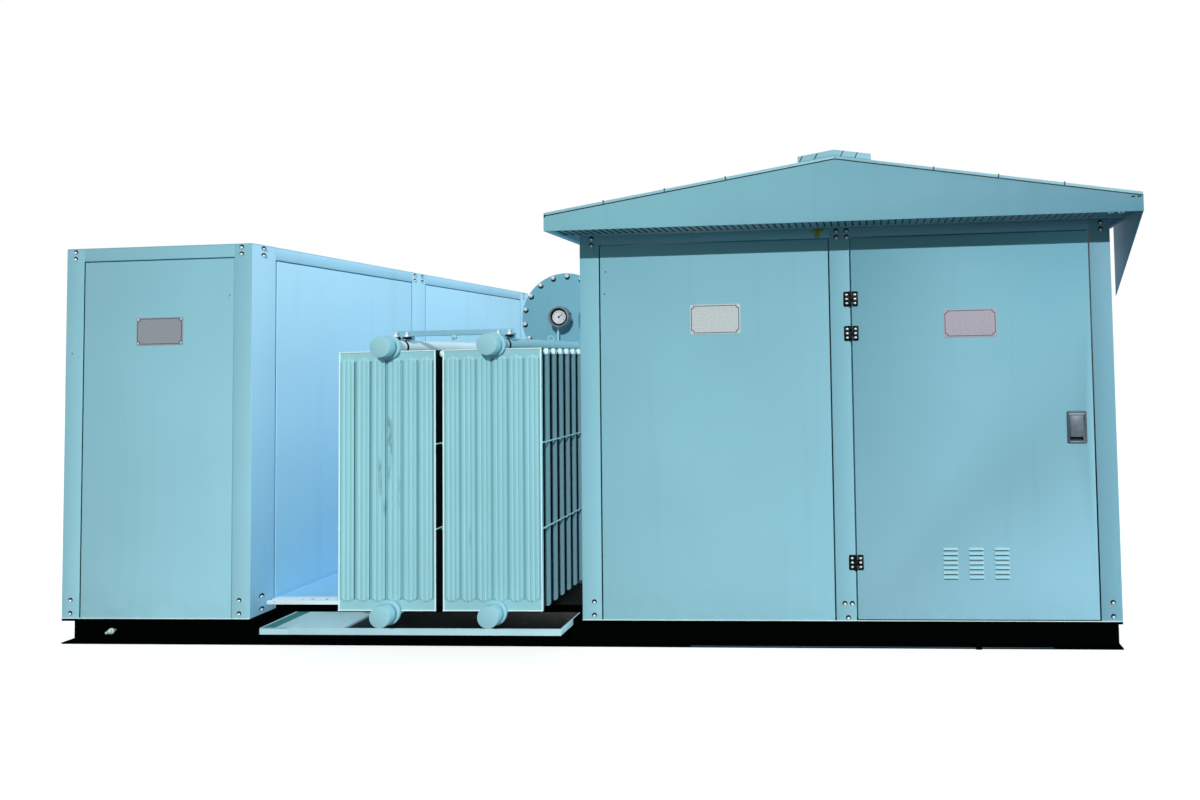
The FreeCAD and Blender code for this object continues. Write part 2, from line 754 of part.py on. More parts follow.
def transformer():
    tank_left = BANKS_CENTRE + " - tank_length / 2"
    front = "-tank_depth / 2"
    node("tank_foot_plate", box(LV_RIGHT + " + groove", "-foot_plate_depth / 2", FOOT_PLATE,
                                "bay_length - 2 * groove", "foot_plate_depth", "foot_plate_skin"))
    node("tank", box(tank_left, front, TANK_FOOT, "tank_length", "tank_depth", "tank_height"))
    node("tank_cover", box(tank_left + " - cover_rim", front + " - cover_rim", TANK_FOOT + " + tank_height",
                           "tank_length + 2 * cover_rim", "tank_depth + 2 * cover_rim", "cover_skin"))
    ribs = []
    for inset in ("outer_rib_inset", "inner_rib_inset"):
        rib = box(tank_left + " - tank_rib_reach", front + " + " + inset, TANK_FOOT,
                  "tank_rib_reach", "tank_rib_skin", "tank_height")
        pair = together([rib, behind(rib)])
        ribs += [pair, across(pair, BANKS_CENTRE)]
    node("tank_ribs", together(ribs))
    lv_reach = BANKS_CENTRE + " - tank_length / 2 - (" + LV_RIGHT + ")"
    hv_reach = HV_LEFT + " - (" + BANKS_CENTRE + ") - tank_length / 2"
    node("lv_throat", box(LV_RIGHT, "-throat_depth / 2", "throat_level",
                          lv_reach, "throat_depth", "throat_height"))
    node("hv_throat", box(BANKS_CENTRE + " + tank_length / 2", "-throat_depth / 2", "throat_level",
                          hv_reach, "throat_depth", "throat_height"))


def drip_trays():
    """Folded shelves under the radiators, with a lip that hangs in front of the base."""
    left = LV_RIGHT + " + tray_clearance"
    front = FRONT + " - tray_reach"
    seat = "base_height + tray_bearer_height"
    foot = seat + " + tray_skin - tray_height"
    length = "bay_length - tray_clearance - tray_end_gap"
    sheet = box(left, front, seat, length, "tray_depth", "tray_skin")
    lip = box(left, front, foot, length, "tray_skin", "tray_height")
    ends = [box(x, front, foot, "tray_skin", "tray_reach - groove", "tray_height")
            for x in (left, HV_LEFT + " - tray_end_gap - tray_skin")]
    tray = fused([sheet, lip] + ends)
    node("drip_tray_front", tray)
    node("drip_tray_rear", behind(tray))


def conservator():
    x = HV_LEFT + " - conservator_clearance - conservator_radius - end_rim"
    front = CONSERVATOR_FRONT
    back = "-" + front
    length = "-2 * " + front
    shell = cylinder(x, back, CONSERVATOR_LEVEL, "conservator_radius", length, ALONG_MINUS_Y)
    inside = cylinder(x, back, CONSERVATOR_LEVEL, "conservator_radius - conservator_skin",
                      length, ALONG_MINUS_Y)
    node("conservator_shell", cut(shell, inside))
    end = cylinder(x, front, CONSERVATOR_LEVEL, "conservator_radius + end_rim", "end_flange", ALONG_MINUS_Y)
    node("conservator_ends", together([end, behind(end)]))
    leg = box(x + " - leg_width", "-tank_depth / 2 + leg_inset", COVER_TOP,
              "2 * leg_width", "leg_skin", "conservator_rise + conservator_radius")
    saddle = cut(leg, shell)
    node("conservator_legs", together([cut(saddle, inside), behind(cut(saddle, inside))]))
    neck = cylinder(x, front + " - end_flange", CONSERVATOR_LEVEL, "gauge_neck_radius",
                    "gauge_reach - gauge_skin", ALONG_MINUS_Y)
    dial = cylinder(x, front + " - end_flange - gauge_reach + gauge_skin", CONSERVATOR_LEVEL,
                    "gauge_radius", "gauge_skin", ALONG_MINUS_Y)
    node("oil_level_gauge", fused([neck, dial]))


def check():
    doc.recompute()
    for item in doc.Objects:
        if "Invalid" in item.State or "Error" in item.State:
            raise RuntimeError("%s is not sound: %s" % (item.Label, item.State))
    for item in nodes:
        shape = item.Shape
        if shape.isNull() or not shape.isValid() or not shape.Solids:
            raise RuntimeError("%s has no valid solid" % item.Label)


def write():
    os.makedirs("parts", exist_ok=True)
    for item in nodes:
        item.Shape.exportStep("parts/%s.step" % item.Label)
    whole = Part.makeCompound([item.Shape for item in nodes])
    print(len(nodes), "nodes", whole.BoundBox)


fill_sheet()
base()
lv_cabinet()
hv_cabinet()
roof()
door()
louvres()
radiators()
bearers()
transformer()
drip_trays()
conservator()
check()
write()
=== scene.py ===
import math
import random
import bmesh
import bpy
from mathutils import Matrix, Vector


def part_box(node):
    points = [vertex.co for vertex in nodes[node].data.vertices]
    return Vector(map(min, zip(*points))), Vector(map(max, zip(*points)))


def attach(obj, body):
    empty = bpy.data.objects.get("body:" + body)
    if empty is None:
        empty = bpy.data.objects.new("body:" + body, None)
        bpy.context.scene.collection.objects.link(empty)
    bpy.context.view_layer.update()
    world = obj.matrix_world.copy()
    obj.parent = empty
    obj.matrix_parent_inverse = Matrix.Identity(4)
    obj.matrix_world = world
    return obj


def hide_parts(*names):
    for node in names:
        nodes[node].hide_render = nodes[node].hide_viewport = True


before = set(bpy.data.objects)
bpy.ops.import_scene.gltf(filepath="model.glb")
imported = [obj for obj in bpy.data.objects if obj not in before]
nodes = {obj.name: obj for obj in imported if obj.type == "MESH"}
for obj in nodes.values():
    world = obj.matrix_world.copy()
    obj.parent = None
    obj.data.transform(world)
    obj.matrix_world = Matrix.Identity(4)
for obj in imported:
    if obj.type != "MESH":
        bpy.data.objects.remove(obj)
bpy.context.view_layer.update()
dice = random.Random(7)
scene = bpy.context.scene
lvLow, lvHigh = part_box("lv_corner_posts")
hvLow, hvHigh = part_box("hv_corner_posts")
wall = abs(lvLow.y)
print("frame loaded:", len(nodes), "nodes")

upward = Vector((0, 0, 1))
forward = Vector((0, -1, 0))
rearward = Vector((0, 1, 0))
rightward = Vector((1, 0, 0))
leftward = Vector((-1, 0, 0))


# small helpers for meshes

def addPiece(name, bm, kind, body="root", replaced=(), smooth=False):
    bmesh.ops.recalc_face_normals(bm, faces=bm.faces)
    mesh = bpy.data.meshes.new(name)
    bm.to_mesh(mesh)
    bm.free()
    for polygon in mesh.polygons:
        polygon.use_smooth = smooth
    if smooth:
        mesh.set_sharp_from_angle(angle=math.radians(38))
    piece = bpy.data.objects.new(name, mesh)
    scene.collection.objects.link(piece)
    mesh.materials.append(finish[kind])
    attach(piece, body)
    if replaced:
        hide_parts(*replaced)
    return piece


def roundEdges(piece, width, segments=2, angle=30):
    for polygon in piece.data.polygons:
        polygon.use_smooth = True
    bevel = piece.modifiers.new("roundedEdges", "BEVEL")
    bevel.width = width
    bevel.segments = segments
    bevel.limit_method = "ANGLE"
    bevel.angle_limit = math.radians(angle)
    bevel.harden_normals = True


def bevelled(bm, geometry, width, segments=4, affect="EDGES", profile=0.5):
    bmesh.ops.bevel(bm, geom=geometry, offset=width, offset_type="OFFSET", affect=affect,
                    segments=segments, profile=profile, material=-1)


def edgesOf(verts):
    return list({edge for vert in verts for edge in vert.link_edges})


def span(edge, axis):
    return abs(edge.verts[0].co[axis] - edge.verts[1].co[axis])


def block(bm, first, second):
    # a block between two opposite corners, given in either order
    low = Vector([min(pair) for pair in zip(first, second)])
    high = Vector([max(pair) for pair in zip(first, second)])
    made = bmesh.ops.create_cube(bm, size=1)["verts"]
    place = Matrix.Translation((low + high) / 2) @ Matrix.Diagonal((*(high - low), 1))
    bmesh.ops.transform(bm, matrix=place, verts=made)
    return made


def softBlock(bm, first, second, width, segments=2):
    # a block with all its edges rounded
    bevelled(bm, edgesOf(block(bm, first, second)), width, segments)


def facing(point, axis, turn=0.0):
    tilt = Vector(axis).to_track_quat("Z", "Y").to_matrix().to_4x4()
    return Matrix.Translation(Vector(point)) @ tilt @ Matrix.Rotation(turn, 4, "Z")


def onFront(x, z, rise=0.0):
    return facing((x, -wall - rise, z), forward)


def midPoint(low, high, y):
    return Vector(((low.x + high.x) / 2, y, (low.z + high.z) / 2))


def rod(bm, start, end, radius, segments=12):
    start = Vector(start)
    end = Vector(end)
    made = bmesh.ops.create_cone(bm, cap_ends=True, segments=segments, radius1=radius, radius2=radius,
                                 depth=(end - start).length)["verts"]
    bmesh.ops.transform(bm, matrix=facing((start + end) / 2, end - start), verts=made)


def turned(profile, steps=20):
    # a profile of (radius, height) spun round Z
    bm = bmesh.new()
    points = [bm.verts.new((radius, 0, height)) for radius, height in profile]
    edges = [bm.edges.new(pair) for pair in zip(points, points[1:])]
    bmesh.ops.spin(bm, geom=points + edges, axis=(0, 0, 1), cent=(0, 0, 0),
                   steps=steps, angle=math.tau, use_merge=True)
    bmesh.ops.remove_doubles(bm, verts=bm.verts, dist=1e-6)
    return bm


def disc(radius, low, high, steps=16):
    return asTemplate(turned([(0, low), (radius, low), (radius, high), (0, high)], steps))


def asTemplate(bm):
    bmesh.ops.recalc_face_normals(bm, faces=bm.faces)
    mesh = bpy.data.meshes.new("template")
    bm.to_mesh(mesh)
    bm.free()
    return mesh


def placed(template, places, bm=None):
    bm = bm or bmesh.new()
    for place in places:
        known = set(bm.verts)
        bm.from_mesh(template)
        fresh = [vert for vert in bm.verts if vert not in known]
        bmesh.ops.transform(bm, matrix=place, verts=fresh)
    return bm


def roundedPlate(width, height, thick, radius, segments=4, softness=0.0):
    # a flat plate in XY with rounded corners, standing up along Z
    bm = bmesh.new()
    block(bm, (-width / 2, -height / 2, 0), (width / 2, height / 2, thick))
    bevelled(bm, [edge for edge in bm.edges if span(edge, 2) > thick / 2], radius, segments)
    if softness:
        rim = [edge for edge in bm.edges if all(abs(vert.co.z - thick) < 1e-6 for vert in edge.verts)]
        bevelled(bm, rim, softness, 2)
    return bm


def hexNut(radius, height, stud=0.0, studOut=0.0):
    bm = bmesh.new()
    bmesh.ops.create_cone(bm, cap_ends=True, segments=6, radius1=radius, radius2=radius, depth=height)
    bevelled(bm, [edge for edge in bm.edges if span(edge, 2) < 1e-6], radius * 0.1, 1)
    bmesh.ops.translate(bm, vec=(0, 0, height / 2), verts=bm.verts)
    if stud:
        rod(bm, (0, 0, 0), (0, 0, height + studOut), stud, 10)
    return asTemplate(bm)


def anglesRound(count, start):
    return [math.tau * (index + start) / count for index in range(count)]


# materials

def tint(red, green, blue):
    def linear(value):
        value = value / 255
        return value / 12.92 if value <= 0.04045 else ((value + 0.055) / 1.055) ** 2.4
    return (linear(red), linear(green), linear(blue), 1)


def scaled(colour, share):
    return tuple(min(1, part * share) for part in colour[:3]) + (1,)


class Shading:
    # a material's nodes, wired by short calls
    def __init__(self, name):
        self.material = bpy.data.materials.new(name)
        self.material.use_nodes = True
        self.tree = self.material.node_tree
        self.shader = self.tree.nodes["Principled BSDF"]
        self.coordinates = self.tree.nodes.new("ShaderNodeTexCoord").outputs["Object"]

    def wire(self, value, socket):
        if isinstance(value, bpy.types.NodeSocket):
            self.tree.links.new(value, socket)
        else:
            socket.default_value = value

    def add(self, kind, inputs=(), **settings):
        made = self.tree.nodes.new(kind)
        for key, value in settings.items():
            setattr(made, key, value)
        for socket, value in dict(inputs).items():
            self.wire(value, made.inputs[socket])
        return made

    def noise(self, scale, detail=3.0, stretch=(1, 1, 1)):
        mapped = self.add("ShaderNodeMapping", {"Vector": self.coordinates, "Scale": stretch})
        return self.add("ShaderNodeTexNoise", {"Vector": mapped.outputs[0], "Scale": scale,
                                               "Detail": detail}).outputs["Fac"]

    def ramp(self, factor, low, high, atLow=0.0, atHigh=1.0):
        return self.add("ShaderNodeMapRange", {"Value": factor, "From Min": low, "From Max": high,
                                               "To Min": atLow, "To Max": atHigh}).outputs[0]

    def blend(self, factor, first, second, mode="MIX"):
        mixed = self.add("ShaderNodeMix", data_type="RGBA", blend_type=mode)
        for socket, value in ((0, factor), (6, first), (7, second)):
            self.wire(value, mixed.inputs[socket])
        return mixed.outputs[2]

    def times(self, first, second):
        return self.add("ShaderNodeMath", {0: first, 1: second}, operation="MULTIPLY").outputs[0]

    def vectors(self, operation, inputs):
        return self.add("ShaderNodeVectorMath", inputs, operation=operation)

    def size(self, value):
        return self.add("ShaderNodeMath", {0: value}, operation="ABSOLUTE").outputs[0]

    def between(self, value, rise, fall, weight=1.0):
        # weight inside the two limits, and zero outside
        return self.times(self.ramp(value, *rise, 0.0, weight), self.ramp(value, *fall))

    def axis(self, name):
        return self.add("ShaderNodeSeparateXYZ", {0: self.coordinates}).outputs[name]

    def faceNormal(self, name):
        source = self.add("ShaderNodeTexCoord").outputs["Normal"]
        return self.add("ShaderNodeSeparateXYZ", {0: source}).outputs[name]

    def bump(self, height, distance, strength=1.0, under=None):
        inputs = {"Height": height, "Distance": distance, "Strength": strength}
        if under is not None:
            inputs["Normal"] = under
        return self.add("ShaderNodeBump", inputs).outputs[0]

    def set(self, colour, roughness, metal, gloss, normal):
        self.wire(colour, self.shader.inputs["Base Color"])
        self.wire(roughness, self.shader.inputs["Roughness"])
        self.wire(metal, self.shader.inputs["Metallic"])
        self.wire(gloss, self.shader.inputs["Specular IOR Level"])
        self.wire(normal, self.shader.inputs["Normal"])
        return self.material

    def coat(self, tone, scale, detail, smoothest, roughest, gloss, under=None):
        # paint that is duller in patches, with orange peel
        worn = self.ramp(self.noise(scale, detail), 0.3, 0.7, smoothest, roughest)
        peel = self.bump(self.noise(paint["peelScale"], 2.0), paint["peelDepth"], 0.5, under)
        return self.set(tone, worn, 0.0, gloss, peel)


paint = {
    "drift": 0.05,
    "driftScale": 0.9,
    "toneRise": (0.3, 2.0),
    "toneAcross": (0.6, 2.9),
    "streakScale": 11.0,
    "streakCut": (0.56, 0.74),
    "streakColour": tint(70, 95, 96),
    "grimeHeight": (0.34, 0.14),
    "grimeScale": 14.0,
    "grimeColour": tint(96, 104, 96),
    "speckScale": 170.0,
    "speckCut": (0.72, 0.80),
    "speckColour": tint(224, 236, 238),
    # painted shade for the sides of the grooves between posts and panels
    "grooveShadeColour": tint(12, 40, 46),
    "gloss": 0.12,
    "wearScale": 3.2,
    "peelScale": 420.0,
    "peelDepth": 0.00010,
    "waveScale": 1.4,
    "waveDepth": 0.0014,
}


def paintedSteel(name, colour, roughness=0.50, streaks=0.05, grime=0.10, wave=1.0, specks=0.10,
                 gloss=None, low=None, right=None, sideTones=(), grooveShade=None):
    # satin paint: slow drift of tone, runs of dirt, dust near the ground, orange peel and dented sheet
    shading = Shading(name)
    tone = colour
    # painted light: with low given, the tone changes from low at the foot to colour higher up, as light falls
    # on the wall
    if low:
        tone = shading.blend(shading.ramp(shading.axis("Z"), *paint["toneRise"]), low, tone)
    # painted light: with right given, the tone darkens towards the right, as the light falls off across the
    # face
    if right:
        tone = shading.blend(shading.ramp(shading.axis("X"), *paint["toneAcross"]), tone, right)
    if sideTones:
        # the wall that faces right, painted bluer and paler as a painted sky reflection, lighter towards the
        # top
        looksRight = shading.times(shading.ramp(shading.faceNormal("X"), 0.55, 0.90),
                                   shading.ramp(shading.axis("X"), lvHigh.x - 0.004, lvHigh.x - 0.003))
        sideTone = shading.blend(shading.ramp(shading.axis("Z"), *paint["toneRise"]), *sideTones)
        tone = shading.blend(looksRight, tone, sideTone)
    drift = shading.ramp(shading.noise(paint["driftScale"], 2.0), 0.3, 0.7,
                         1 - paint["drift"], 1 + paint["drift"])
    grey = shading.add("ShaderNodeCombineColor", {0: drift, 1: drift, 2: drift}).outputs[0]
    tone = shading.blend(1.0, tone, grey, "MULTIPLY")
    runs = shading.ramp(shading.noise(paint["streakScale"], 3.0, (1, 1, 0.06)), *paint["streakCut"])
    tone = shading.blend(shading.times(runs, streaks), tone, paint["streakColour"])
    blotch = shading.ramp(shading.noise(paint["grimeScale"], 4.0), 0.35, 0.7)
    foot = shading.ramp(shading.axis("Z"), *paint["grimeHeight"])
    tone = shading.blend(shading.times(shading.times(foot, blotch), grime), tone, paint["grimeColour"])
    speck = shading.ramp(shading.noise(paint["speckScale"], 2.0), *paint["speckCut"], 0.0, specks)
    tone = shading.blend(speck, tone, paint["speckColour"])
    if grooveShade:
        # the sides of the grooves between posts and panels, painted as dark as they look in their shade
        within = shading.between(shading.axis("X"), (grooveShade[0], grooveShade[0] + 0.001), (grooveShade[1], grooveShade[1] - 0.001))
        facesAcross = shading.ramp(shading.size(shading.faceNormal("X")), 0.72, 0.95)
        tone = shading.blend(shading.times(facesAcross, within), tone, paint["grooveShadeColour"])
    waves = shading.bump(shading.noise(paint["waveScale"], 1.0, (1, 1, 0.6)), paint["waveDepth"] * wave)
    return shading.coat(tone, paint["wearScale"], 4.0, roughness - 0.05, roughness + 0.10,
                        paint["gloss"] if gloss is None else gloss, waves)


def metalFinish(name, colour, roughness=0.3, metal=1.0, grain=240.0, gloss=0.5):
    shading = Shading(name)
    drift = shading.ramp(shading.noise(grain * 0.2, 3.0), 0.35, 0.68)
    tone = shading.blend(drift, scaled(colour, 0.76), colour)
    worn = shading.ramp(shading.noise(grain, 3.0), 0.3, 0.7, max(0.05, roughness - 0.08), roughness + 0.12)
    normal = shading.bump(shading.noise(grain * 2, 2.0), 0.0001, 0.5)
    return shading.set(tone, worn, metal, gloss, normal)


finLook = {
    # each stain is x, z, half width, half height and weight
    "stains": ((-0.860, 1.10, 0.022, 0.22, 0.75), (-0.905, 0.97, 0.010, 0.16, 0.6),
               (-0.800, 0.86, 0.012, 0.09, 0.55), (-0.880, 0.80, 0.008, 0.07, 0.6),
               (-0.700, 1.02, 0.008, 0.10, 0.35), (-0.430, 0.62, 0.010, 0.12, 0.25)),
    "stain": tint(52, 84, 88),
    # the rest is painted shade: the fins behind, the flute valleys, the deep inside and the gap between the
    # banks
    "behindY": (1.432, 1.424),
    "behind": tint(62, 92, 112),
    "valleyY": ((1.4462, 1.4425), (1.4380, 1.4390)),
    "valleyZ": ((0.318, 0.322), (1.532, 1.528)),
    "valley": tint(84, 140, 148),
    "deepX": ((-1.112, -1.106), (-0.080, -0.085)),
    "deep": tint(8, 14, 17),
    "gapX": (-0.590, -0.600),
    "gapY": (1.446, 1.444),
    "gap": tint(10, 20, 24),
}


def stainedAndShadedPaint(name, colour):
    # radiator paint with a few dark dribbles, and painted shade: the sheets darkened away from their edges,
    # darker flute valleys and near-black gaps between fins and between the banks
    shading = Shading(name)
    drift = shading.ramp(shading.noise(1.3, 2.0), 0.3, 0.7)
    tone = shading.blend(drift, scaled(colour, 0.95), scaled(colour, 1.05))
    ragged = shading.ramp(shading.noise(42.0, 4.0, (1, 1, 0.22)), 0.46, 0.60)
    for x, z, halfWidth, halfHeight, weight in finLook["stains"]:
        offset = shading.vectors("SUBTRACT", {0: shading.coordinates, 1: (x, 0, z)}).outputs[0]
        size = shading.vectors("MULTIPLY", {0: offset, 1: (1 / halfWidth, 0, 1 / halfHeight)}).outputs[0]
        reach = shading.vectors("LENGTH", {0: size}).outputs["Value"]
        mark = shading.times(shading.times(shading.ramp(reach, 1.0, 0.4), ragged), weight)
        tone = shading.blend(mark, tone, finLook["stain"])
    runs = shading.noise(24.0, 3.0, (1, 1, 0.05))
    tone = shading.blend(shading.ramp(runs, 0.58, 0.78, 0.0, 0.10), tone, paint["streakColour"])
    depth = shading.size(shading.axis("Y"))
    # painted shade: the fins behind the front one are darker
    tone = shading.blend(shading.ramp(depth, *finLook["behindY"], 0.0, 0.62), tone, finLook["behind"])
    # painted shade: the flute valleys of the front fin are darker
    valleys = shading.times(shading.between(depth, *finLook["valleyY"], 0.60),
                            shading.between(shading.axis("Z"), *finLook["valleyZ"]))
    tone = shading.blend(valleys, tone, finLook["valley"])
    # painted shade: the sheets deep inside the banks are nearly black
    deepInside = shading.times(shading.between(shading.axis("X"), *finLook["deepX"]),
                               shading.ramp(depth, *finLook["behindY"]))
    tone = shading.blend(deepInside, tone, finLook["deep"])
    # painted shade: faces across the gap between the two banks are nearly black
    facesGap = shading.times(shading.ramp(shading.faceNormal("X"), 0.6, 0.9),
                             shading.ramp(shading.axis("X"), *finLook["gapX"]))
    tone = shading.blend(shading.times(facesGap, shading.ramp(depth, *finLook["gapY"])), tone, finLook["gap"])
    return shading.coat(tone, 3.0, 4.0, 0.46, 0.60, paint["gloss"])


plateLook = {
    "edgeY": (1.120, 1.150),
    "edge": tint(222, 238, 244),
    "mottle": tint(96, 128, 140),
    "chip": tint(30, 60, 66),
    "shadeX": (-1.160, -1.130),
    "shade": tint(10, 16, 17),
}


def platePaint(name, colour):
    # the tank's foot plate: pale along its front and rear edges as a painted highlight, with chips there, and
    # dark as painted shade of the radiators
    shading = Shading(name)
    # painted highlight along the front and rear edges, where real chips also sit
    litAndWornEdge = shading.ramp(shading.size(shading.axis("Y")), *plateLook["edgeY"])
    mottle = shading.ramp(shading.noise(7.0, 4.0), 0.35, 0.7, 0.0, 0.10)
    tone = shading.blend(litAndWornEdge, shading.blend(mottle, colour, plateLook["mottle"]), plateLook["edge"])
    chips = shading.ramp(shading.noise(38.0, 3.0), 0.66, 0.70)
    tone = shading.blend(shading.times(chips, litAndWornEdge), tone, plateLook["chip"])
    tone = shading.blend(shading.ramp(shading.axis("X"), *plateLook["shadeX"]), tone, plateLook["shade"])
    return shading.coat(tone, 4.0, 4.0, 0.46, 0.62, paint["gloss"])


pipeLook = {
    "capY": (1.4490, 1.4480),
    "topZ": (1.40, 1.45),
    "pairX": (-0.60, -0.62),
    "pale": tint(228, 244, 248),
}


def pipePaint(name, colour):
    # the left pair of top pipes is painted nearly white behind the drum caps on their ends, a painted
    # highlight
    shading = Shading(name)
    behindCap = shading.times(shading.ramp(shading.size(shading.axis("Y")), *pipeLook["capY"]),
                              shading.ramp(shading.axis("Z"), *pipeLook["topZ"]))
    leftPair = shading.ramp(shading.axis("X"), *pipeLook["pairX"])
    share = shading.ramp(shading.noise(7.0, 3.0, (1, 0.3, 1)), 0.3, 0.7, 0.75, 1.0)
    tone = shading.blend(shading.times(shading.times(behindCap, leftPair), share), colour, pipeLook["pale"])
    return shading.coat(tone, 5.0, 3.0, 0.40, 0.52, paint["gloss"] * 2)


trayLook = {
    "mottle": tint(120, 150, 150),
    "shadeX": (-1.165, -1.125),
    "endX": (0.0032, 0.0028),
    "deckY": (1.3925, 1.3900),
    "shade": tint(10, 16, 17),
    "bandX": ((-1.602, -1.598), (-1.525, -1.535)),
    "band": tint(52, 122, 126),
}


def trayPaint(name, colour):
    # pale paint, with the deck under the radiators painted dark, as it looks in their shade
    shading = Shading(name)
    mottle = shading.ramp(shading.noise(9.0, 4.0), 0.35, 0.7, 0.0, 0.12)
    tone = shading.blend(mottle, colour, trayLook["mottle"])
    deck = shading.ramp(shading.size(shading.axis("Y")), *trayLook["deckY"])
    ragged = shading.ramp(shading.noise(26.0, 4.0), 0.2, 0.4, 0.93, 1.0)
    along = shading.between(shading.axis("X"), trayLook["shadeX"], trayLook["endX"])
    tone = shading.blend(shading.times(along, shading.times(deck, ragged)), tone, trayLook["shade"])
    # painted shade: a teal band near the left end, as the shaded face of the tray's left rim
    leftRimShade = shading.between(shading.axis("X"), *trayLook["bandX"])
    tone = shading.blend(shading.times(leftRimShade, deck), tone, trayLook["band"])
    return shading.coat(tone, 4.0, 4.0, 0.46, 0.62, paint["gloss"])


# painted sky reflection: tones for the LV cabinet's side wall, bluer and paler than the front, lighter
# towards the top
sideTones = (tint(157, 207, 233), tint(190, 232, 255))
finish = {
    # painted light: the cabinet paint is paler towards the foot
    "cabinet": paintedSteel("cabinetPaint", tint(140, 190, 206), low=tint(152, 200, 215), sideTones=sideTones,
                            grooveShade=(lvLow.x + 0.003, lvLow.x + 0.300)),
    # painted sky reflection: the LV side panels wear the bluer side tones
    "side": paintedSteel("sidePaint", sideTones[1], low=sideTones[0], grime=0.05),
    # painted light: the HV paint is paler towards the foot and darker towards the right
    "hv": paintedSteel("hvPaint", tint(136, 190, 206), low=tint(148, 198, 213), right=tint(124, 173, 193),
                       grooveShade=(hvLow.x + 0.003, hvHigh.x - 0.003)),
    # painted light: the door is darker towards the top and paler towards the foot
    "door": paintedSteel("doorPaint", tint(118, 172, 189), low=tint(142, 188, 206), grooveShade=(0.0, hvHigh.x)),
    # painted shade: this paint darkens towards the right end
    "roof": paintedSteel("roofPaint", tint(134, 188, 203), grime=0.0, right=tint(98, 146, 166)),
    "sheet": paintedSteel("roofSheetPaint", tint(150, 196, 212), grime=0.0, streaks=0.10),
    "radiator": stainedAndShadedPaint("radiatorPaint", tint(151, 201, 210)),
    "pipe": pipePaint("pipePaint", tint(152, 200, 212)),
    "brace": paintedSteel("bracePaint", tint(138, 184, 206), streaks=0.04, wave=0.0),
    # painted highlight: seams and foot folds are near white, as their edges catch the light
    "seam": paintedSteel("seamHighlightPaint", tint(216, 238, 242), streaks=0.03, wave=0.0),
    # painted shade: darker than the radiator paint, as the tank and conservator look in shade
    "tank": paintedSteel("tankPaint", tint(118, 172, 192), streaks=0.10, wave=0.5),
    "tray": trayPaint("trayPaint", tint(184, 219, 229)),
    # painted reflection: the foot plate's blue copies the wall beside it
    "footPlate": platePaint("footPlatePaint", tint(142, 202, 240)),
    "base": paintedSteel("basePaint", tint(3, 5, 5), 0.8, streaks=0.0, grime=0.0, specks=0.0, gloss=0.0),
    # painted highlight: the hoods are paler than the door, as their tops catch the light
    "louvre": paintedSteel("louvrePaint", tint(164, 208, 220), streaks=0.0, grime=0.0),
    "zinc": metalFinish("zincPlated", tint(222, 234, 238), 0.34, 0.30),
    "black": metalFinish("blackOxide", tint(7, 8, 9), 0.5, 0.0, gloss=0.15),
    "handle": metalFinish("handlePaint", tint(108, 120, 134), 0.36, 0.0),
    "handleLight": metalFinish("handleWornEdge", tint(158, 176, 186), 0.34, 0.0),
    "handleRim": metalFinish("handleRimPaint", tint(70, 92, 110), 0.38, 0.0),
    # painted shade: near black for the louvre slots, the gap under the roof sheets and the soffit slots
    "dark": metalFinish("paintedShadeDark", tint(14, 34, 38), 0.6, 0.0),
    "slot": metalFinish("soffitSlot", tint(44, 84, 90), 0.6, 0.0),
    "signSilver": metalFinish("signSilver", tint(206, 212, 214), 0.40, 0.0, 700.0),
    "signMauve": metalFinish("signMauve", tint(150, 152, 162), 0.40, 0.0, 700.0),
    "signPink": metalFinish("signPink", tint(178, 168, 184), 0.40, 0.0, 700.0),
    "signLine": metalFinish("signLine", tint(54, 84, 94), 0.45, 0.0, 90.0),
    "gauge": metalFinish("gaugeMetal", tint(196, 204, 208), 0.30, 0.6),
    "bezel": metalFinish("gaugeBezel", tint(132, 142, 152), 0.34, 0.6),
    "dial": metalFinish("dialFace", tint(214, 220, 224), 0.35, 0.0, 60.0),
    "tag": metalFinish("tagCard", tint(140, 150, 62), 0.6, 0.0, 60.0),
    "nick": metalFinish("paintChip", tint(70, 104, 108), 0.5, 0.0, 90.0),
}
print("materials made:", len(finish))

# copies of the shells and frames, with the folded edges that sheet steel has

softNodes = {
    "cabinet": ["lv_corner_posts", "lv_side_posts", "lv_top_rails", "lv_front_panel", "lv_rear_panel",
                "lv_roof"],
    "side": ["lv_side_panels"],
    "hv": ["hv_corner_posts", "hv_side_posts", "hv_door_posts", "hv_top_rails", "hv_front_panel",
           "hv_rear_panels", "hv_side_panels"],
    "roof": ["hv_ceiling", "gable_front", "gable_rear", "eave_boards"],
    "sheet": ["roof_left", "roof_right", "ridge_cap"],
    "tank": ["tank", "tank_cover", "tank_ribs", "lv_throat", "hv_throat", "conservator_legs",
             "conservator_shell", "conservator_ends"],
    "tray": ["drip_tray_front", "drip_tray_rear"],
    "footPlate": ["tank_foot_plate"],
    "base": ["base_front_beam", "base_rear_beam", "base_end_beams", "base_cross_beams",
             "lv_floor", "bay_floor", "hv_floor", "bay_bearers"],
    "pipe": ["radiator_spacers"],
    "brace": ["radiator_braces"],
}
softEdge = {"roof": 0.0012, "tank": 0.002, "tray": 0.0012, "footPlate": 0.0012, "base": 0.0015,
            "pipe": 0.0008, "brace": 0.0008, "sheet": 0.002}


def copied(nodeName):
    bm = bmesh.new()
    bm.from_mesh(nodes[nodeName].data)
    bmesh.ops.remove_doubles(bm, verts=bm.verts, dist=1e-5)
    bmesh.ops.dissolve_limit(bm, angle_limit=math.radians(0.5), verts=bm.verts, edges=bm.edges)
    return bm


